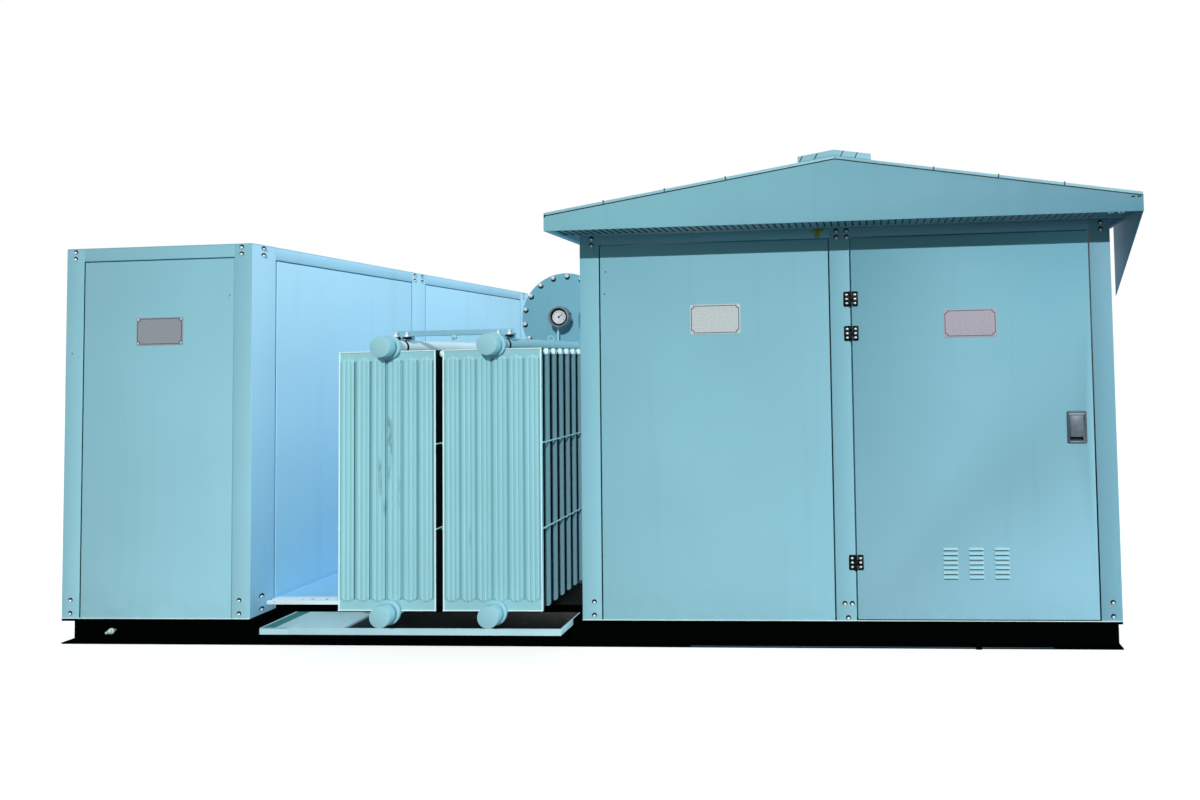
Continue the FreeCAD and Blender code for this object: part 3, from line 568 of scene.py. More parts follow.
def roundCorners(bm, xs, zs, radius):
    # rounds the edges that run along Y at the given corners of an outline
    corners = []
    for edge in bm.edges:
        spot = edge.verts[0].co
        alongY = span(edge, 0) < 1e-5 and span(edge, 2) < 1e-5
        if alongY and min(abs(spot.x - x) for x in xs) < 1e-4 and min(abs(spot.z - z) for z in zs) < 1e-4:
            corners.append(edge)
    bevelled(bm, corners, radius)


def softened(nodeName, kind, body="root"):
    piece = addPiece(nodeName + "_edged", copied(nodeName), kind, body=body, replaced=(nodeName,))
    roundEdges(piece, softEdge.get(kind, 0.0016))


for kind, names in softNodes.items():
    for nodeName in names:
        softened(nodeName, kind)
softened("hv_door", "door", "hv_door")
print("cabinet shells edged")

# folded bottom edges of the cabinets, and chips and a scratch in the paint

trim = {
    "footRise": 0.004,
    "footReach": 0.0016,
    "footInset": 0.001,
    "chip": 0.0045,
    "chipSkin": 0.0007,
    "chips": ((hvLow.x + 0.142, 1.985), (hvLow.x + 0.136, 1.865), (lvLow.x + 0.040, 1.613)),
    "scratch": (0.010, 0.0015, 0.0006),
    "scratchPlace": (lvHigh.x - 0.132, 1.917),
    "scratchTurn": 0.75,
    "sunk": 0.001,
}


def wallTrims():
    bm = bmesh.new()
    for low, high in ((lvLow, lvHigh), (hvLow, hvHigh)):
        for side in (-1, 1):
            block(bm, (low.x + trim["footInset"], side * wall, low.z),
                  (high.x - trim["footInset"], side * (wall + trim["footReach"]), low.z + trim["footRise"]))
    # the folds wear the near-white seam paint, a painted highlight
    addPiece("wall_foot_folds", bm, "seam")
    chip = disc(trim["chip"], -trim["sunk"], trim["chipSkin"], 10)
    bm = placed(chip, [onFront(x, z) for x, z in trim["chips"]])
    length, width, rise = trim["scratch"]
    scratch = block(bm, (-length, -width, -trim["sunk"]), (length, width, rise))
    slant = onFront(*trim["scratchPlace"]) @ Matrix.Rotation(trim["scratchTurn"], 4, "Z")
    bmesh.ops.transform(bm, matrix=slant, verts=scratch)
    addPiece("paint_chips", bm, "nick")


wallTrims()

# dome screws on the posts, each on a black washer

screw = {
    "radius": 0.0084,
    "height": 0.0052,
    "skin": 0.0008,
    "sunk": 0.002,
    "washer": 0.0130,
    "washerSkin": 0.0012,
    "drop": 0.0030,
}
postScrews = {
    "lvLeftInset": 0.0525,
    "lvRightInset": 0.0625,
    "lvZ": (2.184, 2.146, 0.240, 0.168),
    "lvSideY": (-1.210, -0.145, -0.075, 1.198),
    "hvLeftInset": 0.0645,
    "hvRightInset": 0.0465,
    "hvZ": (2.163, 2.129, 0.235, 0.165),
    "hvSideY": (-1.210, -0.035, 0.035, 1.210),
    "doorPostX": (1.440, 1.494),
    "doorPostZ": (2.163, 2.129),
    "doorPostFoot": ((1.446, 0.228), (1.484, 0.228), (1.463, 0.156)),
}


def screwHead():
    r = screw["radius"]
    h = screw["height"]
    dome = [(1.0, 0.0), (0.97, 0.30), (0.80, 0.66), (0.48, 0.90), (0.30, 0.93), (0.26, 0.62), (0, 0.62)]
    foot = [(0, -screw["sunk"]), (r, -screw["sunk"])]
    return asTemplate(turned(foot + [(r * wide, screw["skin"] + h * tall) for wide, tall in dome], 16))


def washerRing():
    r = screw["washer"]
    t = screw["washerSkin"]
    return asTemplate(turned([(0, -0.001), (r, -0.001), (r, t * 0.6), (r * 0.92, t), (0, t)], 16))


domeScrew = screwHead()
blackWasher = washerRing()


def screwPlaces():
    frontX = ((lvLow.x + postScrews["lvLeftInset"], "lvZ"), (lvHigh.x - postScrews["lvRightInset"], "lvZ"),
              (hvLow.x + postScrews["hvLeftInset"], "hvZ"), (hvHigh.x - postScrews["hvRightInset"], "hvZ"))
    points = [(x, z) for x, rows in frontX for z in postScrews[rows]]
    points += [(x, z) for x in postScrews["doorPostX"] for z in postScrews["doorPostZ"]]
    points += list(postScrews["doorPostFoot"])
    spots = []
    for x, z in points:
        spots.append(((x, -wall, z), forward))
        spots.append(((x, wall, z), rearward))
    for y in postScrews["lvSideY"]:
        spots += [((lvHigh.x, y, z), rightward) for z in postScrews["lvZ"]]
    for y in postScrews["hvSideY"]:
        spots += [((hvHigh.x, y, z), rightward) for z in postScrews["hvZ"]]
        spots += [((hvLow.x, y, z), leftward) for z in postScrews["hvZ"]]
    return spots


def postFixings():
    spots = screwPlaces()
    drop = upward * screw["drop"]
    heads = [facing(Vector(point) - drop, axis, dice.uniform(0, 3)) for point, axis in spots]
    rings = [facing(Vector(point) + drop * 0.5, axis) for point, axis in spots]
    addPiece("post_screws", placed(domeScrew, heads), "zinc", smooth=True)
    addPiece("post_screw_washers", placed(blackWasher, rings), "black", smooth=True)
    print("post screws:", len(heads))


postFixings()

# the three bare sign plates

sign = {
    "thick": 0.0018,
    "corner": 0.008,
    "softness": 0.0005,
    "lineInset": 0.006,
    "lineWidth": 0.0050,
    "lineRise": 0.0004,
    "clip": 0.014,
    "screwInset": 0.011,
    "screwScale": 0.5,
}
signPlates = {
    "lv_sign": {"x": (-2.493, -2.216), "z": (1.649, 1.804), "finish": "signMauve", "screws": True},
    "hv_sign": {"x": (0.655, 0.924), "z": (1.637, 1.795), "finish": "signSilver", "screws": True},
    "door_sign": {"x": (1.988, 2.260), "z": (1.590, 1.736), "finish": "signPink", "screws": False},
}


def signBorder(width, height):
    # a line round the plate, with its corners clipped inwards
    bm = bmesh.new()
    bmesh.ops.create_grid(bm, x_segments=1, y_segments=1, size=0.5)
    inner = Matrix.Diagonal((width - 2 * sign["lineInset"], height - 2 * sign["lineInset"], 1, 1))
    bmesh.ops.transform(bm, matrix=inner, verts=bm.verts)
    bevelled(bm, bm.verts[:], sign["clip"], affect="VERTICES", profile=0.08)
    face = max(bm.faces, key=lambda item: item.calc_area())
    bmesh.ops.inset_individual(bm, faces=[face], thickness=sign["lineWidth"], depth=0)
    bmesh.ops.delete(bm, geom=[face], context="FACES_ONLY")
    grown = bmesh.ops.extrude_face_region(bm, geom=bm.faces[:])["geom"]
    raised = [item for item in grown if isinstance(item, bmesh.types.BMVert)]
    bmesh.ops.translate(bm, vec=(0, 0, sign["lineRise"]), verts=raised)
    return asTemplate(bm)


def signPlate(name, where, body):
    left, right = where["x"]
    low, high = where["z"]
    width = right - left
    height = high - low
    centre = ((left + right) / 2, (low + high) / 2)
    plate = asTemplate(roundedPlate(width, height, sign["thick"], sign["corner"], 4, sign["softness"]))
    addPiece(name, placed(plate, [onFront(*centre)]), where["finish"], body=body)
    border = placed(signBorder(width, height), [onFront(*centre, sign["thick"])])
    addPiece(name + "_border", border, "signLine", body=body)
    if where["screws"]:
        inset = sign["screwInset"]
        corners = [(x, z) for x in (left + inset, right - inset) for z in (low + inset, high - inset)]
        places = [onFront(x, z, sign["thick"]) @ Matrix.Scale(sign["screwScale"], 4) for x, z in corners]
        addPiece(name + "_screws", placed(domeScrew, places), "zinc", body=body, smooth=True)


for name, where in signPlates.items():
    signPlate(name, where, "hv_door" if name == "door_sign" else "root")
print("sign plates placed")

# hinges: black leaves with rounded corners and six bright oval screws

hinge = {
    "levels": (1.804, 1.624, 0.439),
    "reach": 0.038,
    "leaf": 0.004,
    "height": 0.078,
    "corner": 0.007,
    "softness": 0.0006,
    "column": 0.0215,
    "row": 0.0225,
    "screw": (0.0072, 0.0054, 0.0024, 1),
}


def hinges():
    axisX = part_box("post_hinge_leaves")[0].x + hinge["reach"]
    halves = [level + side * hinge["height"] / 2 for level in hinge["levels"] for side in (-1, 1)]
    for nodeName, body, side in (("post_hinge_leaves", "root", -1), ("door_hinge_leaves", "hv_door", 1)):
        bm = copied(nodeName)
        roundCorners(bm, (axisX + side * hinge["reach"],), halves, hinge["corner"])
        piece = addPiece(nodeName + "_rounded", bm, "black", body=body, replaced=(nodeName,))
        roundEdges(piece, hinge["softness"], 1)
    head = turned([(0, -0.4), (1, -0.4), (1, 0.35), (0.72, 0.85), (0.35, 1.0), (0, 1.0)], 16)
    bmesh.ops.transform(head, matrix=Matrix.Diagonal(hinge["screw"]), verts=head.verts)
    ovalScrew = asTemplate(head)
    for word, body, side in (("post", "root", -1), ("door", "hv_door", 1)):
        places = [onFront(axisX + side * hinge["column"], level + row * hinge["row"], hinge["leaf"])
                  for level in hinge["levels"] for row in (-1, 0, 1)]
        addPiece("hinge_screws_" + word, placed(ovalScrew, places), "zinc", body=body, smooth=True)


hinges()

# the flush handle: a folded frame, a black finger pocket and a paddle with a raised pad

handle = {
    "corner": 0.009,
    "softness": 0.0012,
    "barInset": 0.008,
    "barDrop": 0.012,
    "barHeight": 0.007,
    "lipInset": 0.010,
    "lipRise": 0.006,
    "lipHeight": 0.004,
    "proud": 0.0002,
    "deep": 0.004,
    "pocketInset": 0.013,
    "pocketMargin": 0.014,
    "pocketSkin": 0.001,
    # what is cut off the paddle's low and high corners, for its plate and the pad on it
    "paddle": (((0.004, 0.0016, 0), (0.004, 0, 0)), ((0.009, 0, 0.007), (0.009, 0.001, 0.012))),
    "paddleSoft": 0.0014,
    "axle": 0.0036,
    "axleDrop": 0.004,
}


def flushHandle():
    low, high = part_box("handle_cup")
    bm = copied("handle_cup")
    roundCorners(bm, (low.x, high.x), (low.z, high.z), handle["corner"])
    cup = addPiece("handle_cup_folded", bm, "handleRim", body="hv_door", replaced=("handle_cup",))
    roundEdges(cup, handle["softness"])
    front = low.y - handle["proud"]
    back = low.y + handle["deep"]
    barTop = high.z - handle["barDrop"]
    lipFoot = low.z + handle["lipRise"]
    bm = bmesh.new()
    softBlock(bm, (low.x + handle["barInset"], front, barTop - handle["barHeight"]),
              (high.x - handle["barInset"], back, barTop), 0.0012)
    softBlock(bm, (low.x + handle["lipInset"], front, lipFoot),
              (high.x - handle["lipInset"], back, lipFoot + handle["lipHeight"]), 0.0010)
    addPiece("handle_worn_bars", bm, "handleLight", body="hv_door")
    bm = bmesh.new()
    floorY = high.y - handle["deep"]
    block(bm, (low.x + handle["pocketInset"], floorY - handle["pocketSkin"], low.z + handle["pocketMargin"]),
          (high.x - handle["pocketInset"], floorY, high.z - handle["pocketMargin"]))
    addPiece("handle_pocket_lining", bm, "black", "hv_door")
    low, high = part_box("handle_paddle")
    bm = bmesh.new()
    for lowCut, highCut in handle["paddle"]:
        softBlock(bm, low + Vector(lowCut), high - Vector(highCut), handle["paddleSoft"])
    axle = high.z - handle["axleDrop"]
    centreY = (low.y + high.y) / 2
    rod(bm, (low.x, centreY, axle), (high.x, centreY, axle), handle["axle"], 14)
    addPiece("handle_paddle_dished", bm, "handle", body="door_handle", replaced=("handle_paddle",),
             smooth=True)


flushHandle()
print("door furniture made")

# pressed louvre hoods with rounded ends over dark slots, which are painted shade in place of openings

louvre = {
    "columns": 3,
    "rows": 7,
    "width": 0.074,
    "height": 0.016,
    "bead": 0.010,
    "reach": 0.0078,
    "sunk": 0.0005,
    "topShare": 0.10,
    "endRound": 0.0065,
    "slot": 0.0075,
    "slotInset": 0.004,
    "slotSkin": 0.0008,
}


def louvreHoods():
    low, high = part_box("door_louvres")
    columnStep = (high.x - low.x - louvre["width"]) / (louvre["columns"] - 1)
    rowStep = (high.z - low.z - louvre["height"]) / (louvre["rows"] - 1)
    half = louvre["width"] / 2
    bm = bmesh.new()
    block(bm, (-half, -louvre["reach"], 0), (half, louvre["sunk"], louvre["bead"]))
    for vert in bm.verts:
        if vert.co.z > 0.001 and vert.co.y < -0.001:
            vert.co.y = -louvre["reach"] * louvre["topShare"]
    ends = [edge for edge in bm.edges if span(edge, 0) < 1e-6 and all(v.co.y < -0.001 for v in edge.verts)]
    bevelled(bm, ends, louvre["endRound"])
    hood = asTemplate(bm)
    slot = asTemplate(roundedPlate(louvre["width"] - louvre["slotInset"], louvre["slot"], louvre["slotSkin"],
                                   louvre["slot"] * 0.48))
    spots = [Vector((low.x + half + column * columnStep, -wall, low.z + row * rowStep))
             for column in range(louvre["columns"]) for row in range(louvre["rows"])]
    addPiece("door_louvre_hoods", placed(hood, [Matrix.Translation(spot) for spot in spots]), "louvre",
             body="hv_door", replaced=("door_louvres",))
    # painted shade: a dark plate under each hood stands in for the shaded opening
    slots = [facing(spot - upward * louvre["slot"] * 0.5, forward) for spot in spots]
    addPiece("door_louvre_slots", placed(slot, slots), "dark", body="hv_door")


louvreHoods()
print("louvres made")

# radiators: a pressed front fin with flutes, plain fins behind it, and seams painted bright as a painted
# highlight

fin = {
    "flutes": 6,
    "rim": 0.009,
    "rise": 0.0085,
    "valley": 0.0052,
    "slope": 0.0062,
    "crease": (0.36, 0.66),
    "creaseWidth": 0.0060,
    "creaseDepth": 0.0058,
    "headMargin": 0.036,
    "footMargin": 0.045,
    "endRound": 0.022,
    "endSlope": 0.008,
    "across": 150,
    "rows": 60,
    "crowd": 0.09,
    "crowdRows": 0.25,
    "pitch": 0.065,
    "count": 8,
    "skin": 0.009,
    "corner": 0.010,
    "seam": 0.0034,
    "crimp": 0.012,
    "crimpSoft": 0.010,
    "headHalf": 0.018,
    "headZ": (0.036, 0.002),
}
bankBoxes = {name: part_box(name) for name in nodes if name.startswith(("radiator_front", "radiator_rear"))}


def smoothStep(value):
    value = min(1, max(0, value))
    return value * value * (3 - 2 * value)


def fluteHeight(x, width, z, height):
    pitch = (width - 2 * fin["rim"]) / fin["flutes"]
    if x < fin["rim"] or x > width - fin["rim"]:
        return 0
    local = (x - fin["rim"]) % pitch
    side = min(local, pitch - local)
    rise = smoothStep((side - fin["valley"]) / fin["slope"])
    for share in fin["crease"]:
        gap = abs(local - share * pitch) / fin["creaseWidth"]
        rise -= fin["creaseDepth"] / fin["rise"] * max(0, 1 - gap * gap)
    fromEnd = min(z - fin["footMargin"], height - z - fin["headMargin"])
    arch = (pitch / 2 - side) / (pitch / 2)
    return fin["rise"] * rise * smoothStep((fromEnd - fin["endRound"] * arch * arch) / fin["endSlope"])


def rowLevel(share, height):
    # rows of the grid crowd at both ends, where the flutes close
    crowd = fin["crowd"] * height
    rows = fin["crowdRows"]
    if share < rows:
        return crowd * share / rows
    if share > 1 - rows:
        return height - crowd * (1 - share) / rows
    return crowd + (height - 2 * crowd) * (share - rows) / (1 - 2 * rows)


def flutedFin(bm, low, high, front, inward):
    width = high.x - low.x
    height = high.z - low.z
    grid = bmesh.ops.create_grid(bm, x_segments=fin["across"], y_segments=fin["rows"], size=0.5)["verts"]
    for vert in grid:
        x = (vert.co.x + 0.5) * width
        z = rowLevel(vert.co.y + 0.5, height)
        depth = fluteHeight(x, width, z, height)
        vert.co = (low.x + x, front + (fin["rise"] - depth) * inward, low.z + z)
    faces = list({face for vert in grid for face in vert.link_faces})
    made = bmesh.ops.extrude_face_region(bm, geom=faces)["geom"]
    for vert in [item for item in made if isinstance(item, bmesh.types.BMVert)]:
        vert.co.y = front + (fin["rise"] + fin["skin"]) * inward


def plainFin(bm, low, high, y, inward):
    verts = block(bm, (low.x, y, low.z), (high.x, y + inward * fin["skin"], high.z))
    bevelled(bm, [edge for edge in edgesOf(verts) if span(edge, 1) > fin["skin"] / 2], fin["corner"], 3)


def finSeams(bm, low, high, front, inward):
    # welded seams along the head, the foot and both sides of the front fin, and crimps on the fins behind
    y = front + (fin["rise"] - 0.001) * inward
    r = fin["seam"]
    for z in (low.z + r, high.z - r):
        rod(bm, (low.x, y, z), (high.x, y, z), r, 8)
    for x in (low.x + r, high.x - r):
        rod(bm, (x, y, low.z), (x, y, high.z), r, 8)
    for row in range(1, fin["count"]):
        centreY = front + (fin["rise"] + row * fin["pitch"] + fin["skin"] / 2) * inward
        for x in (low.x + fin["crimp"], high.x - fin["crimp"]):
            softBlock(bm, (x - fin["crimp"], centreY - fin["headHalf"], high.z - fin["headZ"][0]),
                      (x + fin["crimp"], centreY + fin["headHalf"], high.z - fin["headZ"][1]),
                      fin["crimpSoft"], 3)


def radiatorBank(name, low, high):
    front = low.y if low.y < 0 else high.y
    inward = 1 if front < 0 else -1
    bm = bmesh.new()
    flutedFin(bm, low, high, front, inward)
    for row in range(1, fin["count"]):
        plainFin(bm, low, high, front + (fin["rise"] + fin["pitch"] * row) * inward, inward)
    addPiece(name + "_fins", bm, "radiator", replaced=(name,))
    bm = bmesh.new()
    finSeams(bm, low, high, front, inward)
    addPiece(name + "_seams", bm, "seam", smooth=True)


for name, (low, high) in bankBoxes.items():
    radiatorBank(name, low, high)
print("radiator banks built:", len(bankBoxes))

# header pipes: tubes with drum caps, collars at the fins, bends down to the tank cover

pipe = {
    "radius": 0.036,
    "capRadius": 0.054,
    "cap": 0.040,
    "capSoft": 0.004,
    "collar": 0.062,
    "collarSoft": 0.003,
    "collarSkin": 0.012,
    "collarBack": 0.060,
    "level": (0.260, 1.602),
    "shift": 0.019,
    "neckInset": 0.280,
    "flange": 0.072,
    "flangeSkin": 0.012,
    "boltRing": 0.056,
    "boltCount": 6,
    "bolt": (0.008, 0.007, 0.004, 0.004),
    "segments": 36,
}


def bankX(side):
    low, high = bankBoxes["radiator_front_" + side]
    return (low.x + high.x) / 2 + pipe["shift"]


def headerRun(bm, x, level, start, end):
    # one straight run from the front cap back to the tank, with its cap and collar
    r = pipe["radius"]
    cap = pipe["capRadius"]
    soft = pipe["capSoft"]
    length = abs(end - start)
    profile = [(0, 0), (cap - soft, 0), (cap - soft * 0.3, soft * 0.3), (cap, soft),
               (cap, pipe["cap"] - soft), (cap - soft, pipe["cap"]), (r, pipe["cap"]), (r, length),
               (0, length)]
    axis = rearward if start < 0 else forward
    placed(asTemplate(turned(profile, pipe["segments"])), [facing((x, start, level), axis)], bm)
    face = start + axis.y * (pipe["collarBack"] - pipe["collarSkin"])
    wide = pipe["collar"]
    soft = pipe["collarSoft"]
    profile = [(r * 0.9, 0), (wide - soft, 0), (wide, soft), (wide, pipe["collarSkin"]),
               (r * 0.9, pipe["collarSkin"])]
    placed(asTemplate(turned(profile, pipe["segments"])), [facing((x, face, level), axis)], bm)


def headerRiser(bm, x, y, foot, level):
    # the bend: a sphere closes the corner, and a bolted flange seats it on the cover
    rod(bm, (x, y, foot), (x, y, level), pipe["radius"], pipe["segments"])
    made = bmesh.ops.create_uvsphere(bm, u_segments=32, v_segments=16, radius=pipe["radius"])["verts"]
    bmesh.ops.translate(bm, vec=(x, y, level), verts=made)
    flange = disc(pipe["flange"], 0, pipe["flangeSkin"], pipe["segments"])
    placed(flange, [Matrix.Translation((x, y, foot))], bm)


def headers():
    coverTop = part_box("tank_cover")[1].z
    tankFront = abs(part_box("tank")[0].y)
    reach = abs(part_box("radiator_headers")[0].y)
    bm = bmesh.new()
    nuts = []
    for side in ("left", "right"):
        x = bankX(side)
        for out in (-1, 1):
            neck = out * (tankFront - pipe["neckInset"])
            headerRun(bm, x, pipe["level"][0], out * reach, out * tankFront)
            headerRun(bm, x, pipe["level"][1], out * reach, neck)
            headerRiser(bm, x, neck, coverTop, pipe["level"][1])
            for angle in anglesRound(pipe["boltCount"], 0.5):
                spot = Vector((math.cos(angle), math.sin(angle), 0)) * pipe["boltRing"]
                nuts.append(Matrix.Translation(Vector((x, neck, coverTop + pipe["flangeSkin"])) + spot))
    addPiece("radiator_header_pipes", bm, "pipe", replaced=("radiator_headers",), smooth=True)
    addPiece("header_flange_nuts", placed(hexNut(*pipe["bolt"]), nuts), "zinc")


headers()

# what sits on the top pipes: the braces' U-bolts and straps, and a lifting eye; and a plug on a brace

fitting = {
    "nut": (0.0115, 0.012, 0.006, 0.014),
    "boltOut": 0.016,
    "boltRise": 0.018,
    "boltSteps": (-0.030, 0.030),
    "pad": (0.016, 0.014),
    "padZ": (-0.012, -0.001),
    "padSoft": 0.003,
    "strapWide": 0.010,
    "strapSkin": (-0.001, 0.002),
    "ring": 0.016,
    "ringWire": 0.0035,
    "eye": (-0.045, -0.86),
    "eyeZ": (-0.012, 0.014),
    "eyeTop": 0.042,
    "eyeStem": 0.007,
    "plug": ((0, 0), (0.020, 0), (0.022, 0.003), (0.022, 0.014), (0.015, 0.018), (0.013, 0.026), (0, 0.026)),
    "plugPlace": (0.27, 0.012, -0.038),
    "plugScale": 0.7,
}


def torusTemplate(ringRadius, wire, steps=24):
    # a closed ring spun from a small circle, lying in XY
    bm = bmesh.new()
    made = bmesh.ops.create_circle(bm, cap_ends=False, segments=10, radius=wire)["verts"]
    upright = Matrix.Translation((ringRadius, 0, 0)) @ Matrix.Rotation(math.pi / 2, 4, "X")
    bmesh.ops.transform(bm, matrix=upright, verts=made)
    bmesh.ops.spin(bm, geom=bm.verts[:] + bm.edges[:], axis=(0, 0, 1), cent=(0, 0, 0), steps=steps,
                   angle=math.tau, use_merge=True)
    bmesh.ops.remove_doubles(bm, verts=bm.verts, dist=1e-6)
    return asTemplate(bm)


def pipeFittings():
    level = pipe["level"][1]
    pipeTop = level + pipe["radius"]
    braceLow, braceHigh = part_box("radiator_braces")
    steel = bmesh.new()
    black = bmesh.new()
    inner, outer = (pipe["radius"] + skin for skin in fitting["strapSkin"])
    wide = fitting["strapWide"]
    strap = asTemplate(turned([(inner, 0), (outer, 0), (outer, wide), (inner, wide)], 32))
    nut = hexNut(*fitting["nut"])
    nutFoot = pipeTop + fitting["boltRise"]
    halfX, halfY = fitting["pad"]
    padFoot, padTop = (nutFoot + rise for rise in fitting["padZ"])
    for side in ("left", "right"):
        x = bankX(side)
        for out in (-1, 1):
            y = (abs(braceLow.y) + fitting["boltOut"]) * out
            places = [x + step for step in fitting["boltSteps"]]
            placed(nut, [Matrix.Translation((place, y, nutFoot)) for place in places], steel)
            for place in places:
                softBlock(black, (place - halfX, y - halfY, padFoot), (place + halfX, y + halfY, padTop),
                          fitting["padSoft"])
            placed(strap, [facing((x, y - wide / 2, level), rearward)], black)
    x = bankX("right") + fitting["eye"][0]
    y = fitting["eye"][1]
    stemFoot, ringLevel = (pipeTop + rise for rise in fitting["eyeZ"])
    ring = torusTemplate(fitting["ring"], fitting["ringWire"])
    eye = placed(ring, [facing((x, y, ringLevel), (1, -1.2, 0))])
    rod(eye, (x, y, stemFoot), (x, y, level + fitting["eyeTop"]), fitting["eyeStem"])
    addPiece("pipe_lifting_eye", eye, "pipe", smooth=True)
    plugX, plugY, plugZ = fitting["plugPlace"]
    place = facing((bankX("left") + plugX, braceLow.y + plugY, braceHigh.z + plugZ), forward)
    plug = asTemplate(turned(fitting["plug"], 6))
    addPiece("brace_plug", placed(plug, [place @ Matrix.Scale(fitting["plugScale"], 4)]), "pipe")
    addPiece("brace_bolt_nuts", steel, "zinc")
    addPiece("pipe_straps", black, "black", smooth=True)


pipeFittings()
print("header pipes and fittings made")

# oil conservator: nuts round its ends and the dial gauge

nutRing = {
    "count": 18,
    "start": 0.35,
    "inset": 0.020,
    "nut": (0.0125, 0.011, 0.006, 0.005),
    "washer": (0.0175, -0.001, 0.0014),
    "drop": 0.006,
}
gauge = {
    "steps": 40,
    "neck": 0.62,
    "marks": 9,
    "markFrom": -120,
    "markStep": 30,
    "mark": (0.0012, 0.0006, 0.46, 0.57),
    "needle": (0.0018, -0.0008, -0.18, 0.44),
    "needleTurn": 52,
    "marksBack": 0.0092,
    "hub": (0.0075, 0.012, 0.006),
    "nut": (0.0055, 0.006),
    "nutCount": 6,
    "nutRing": 0.735,
    "nutBack": 0.066,
    "tubeFoot": (-0.030, 0.050, -0.60),
    "tube": 0.0065,
    "tubeLift": 0.01,
}
endLow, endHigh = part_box("conservator_ends")


def conservatorNuts():
    ring = (endHigh.x - endLow.x) / 2 - nutRing["inset"]
    centre = midPoint(endLow, endHigh, 0)
    nuts = []
    washers = []
    for angle in anglesRound(nutRing["count"], nutRing["start"]):
        offset = centre + Vector((math.cos(angle), 0, math.sin(angle))) * ring
        for y, axis in ((endLow.y, forward), (endHigh.y, rearward)):
            spot = offset + Vector((0, y, 0))
            nuts.append(facing(spot, axis, angle))
            washers.append(facing(spot - upward * nutRing["drop"], axis))
    addPiece("conservator_nuts", placed(hexNut(*nutRing["nut"]), nuts), "zinc")
    addPiece("conservator_washers", placed(disc(*nutRing["washer"]), washers), "black")


def gaugeShells(low, high, centre):
    # each profile is (share of the gauge's radius, metres back from its face)
    depth = high.y - low.y
    neck = gauge["neck"]
    shells = {
        "gauge_housing": ("gauge", ((0, depth), (neck, depth), (neck, depth - 0.010), (0.70, depth - 0.014),
                                    (0.78, 0.060), (0.74, 0.054), (0.88, 0.046), (0.92, 0.030), (0.92, 0.026),
                                    (0, 0.026))),
        "gauge_bezel": ("bezel", ((0.80, 0.034), (1, 0.030), (1, 0.008), (0.96, 0.001), (0.86, 0),
                                  (0.80, 0.005), (0.80, 0.034))),
        "gauge_inner_ring": ("black", ((0.60, 0.014), (0.81, 0.008), (0.81, 0.020), (0, 0.020))),
        "gauge_dial": ("dial", ((0, 0.010), (neck, 0.010), (neck, 0.016), (0, 0.016))),
    }
    r = (high.x - low.x) / 2
    for name, (kind, profile) in shells.items():
        shell = asTemplate(turned([(r * share, back) for share, back in profile], gauge["steps"]))
        replaced = ("oil_level_gauge",) if name == "gauge_housing" else ()
        addPiece(name, placed(shell, [facing(centre, rearward)]), kind, replaced=replaced,
                 smooth=True)


def levelGauge():
    low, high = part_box("oil_level_gauge")
    centre = midPoint(low, high, low.y)
    r = (high.x - low.x) / 2
    gaugeShells(low, high, centre)
    marks = bmesh.new()
    turns = [gauge["markFrom"] + gauge["markStep"] * index for index in range(gauge["marks"])]
    hands = [(turn, gauge["mark"]) for turn in turns] + [(gauge["needleTurn"], gauge["needle"])]
    for angle, (wide, back, foot, tip) in hands:
        made = block(marks, (-wide, 0, r * foot), (wide, back, r * tip))
        bmesh.ops.transform(marks, matrix=Matrix.Rotation(math.radians(angle), 4, "Y"), verts=made)
    bmesh.ops.translate(marks, vec=centre + rearward * gauge["marksBack"], verts=marks.verts)
    start, end, hub = gauge["hub"]
    rod(marks, centre + rearward * start, centre + rearward * end, hub)
    addPiece("gauge_marks", marks, "black")
    places = []
    for angle in anglesRound(gauge["nutCount"], 0.5):
        axis = Vector((math.cos(angle), 0, math.sin(angle)))
        places.append(facing(centre + axis * r * gauge["nutRing"] + rearward * gauge["nutBack"], axis))
    addPiece("gauge_housing_screws", placed(hexNut(*gauge["nut"]), places), "black")
    tube = bmesh.new()
    x, y, share = gauge["tubeFoot"]
    head = centre + Vector((x, y, r * share))
    rod(tube, head, (head.x, head.y, pipe["level"][1] + gauge["tubeLift"]), gauge["tube"])
    addPiece("gauge_drain_tube", tube, "pipe", smooth=True)


conservatorNuts()
levelGauge()
print("conservator fitted")

# tray ends, tank cover bolts, earthing bolt, base lug and the line along the base's flange

shelf = {"reach": 0.160, "skin": 0.004, "wallGap": 0.003, "softness": 0.0012}
cover = {"step": 0.125, "inset": 0.020, "bolt": (0.011, 0.009, 0.006, 0.006)}
baseFit = {
    "earthNut": (0.0125, 0.010, 0.007, 0.010),
    "earthBack": 0.022,
    "earthWasher": (0.0165, 0.026),
    "earthStud": 0.0075,
    "lugX": 2.124,
    "lugHalf": 0.015,
    "lugHigh": 0.034,
    "lugSkin": 0.006,
    "lineX": (0.63, 2.50),
    "lineZ": (0.0068, 0.0092),
    "lineRise": 0.0006,
    "sunk": 0.001,
}


def trayShelves():
    # the trays' left ends, a folded shelf on past the radiators
    for name in ("drip_tray_front", "drip_tray_rear"):
        low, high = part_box(name)
        left = low.x - shelf["reach"]
        out = -1 if low.y < 0 else 1
        outer = max(abs(low.y), abs(high.y)) * out
        inner = min(abs(low.y), abs(high.y)) * out
        wallIn = (wall + shelf["wallGap"]) * out
        top = high.z
        bm = bmesh.new()
        for first, second in (((left, outer, top - shelf["skin"]), (low.x, inner, top)),
                              ((left, outer, low.z), (low.x, outer - out * shelf["skin"], top)),
                              ((left, outer, low.z), (left + shelf["skin"], wallIn, top))):
            softBlock(bm, first, second, shelf["softness"])
        addPiece(name + "_shelf", bm, "tray")


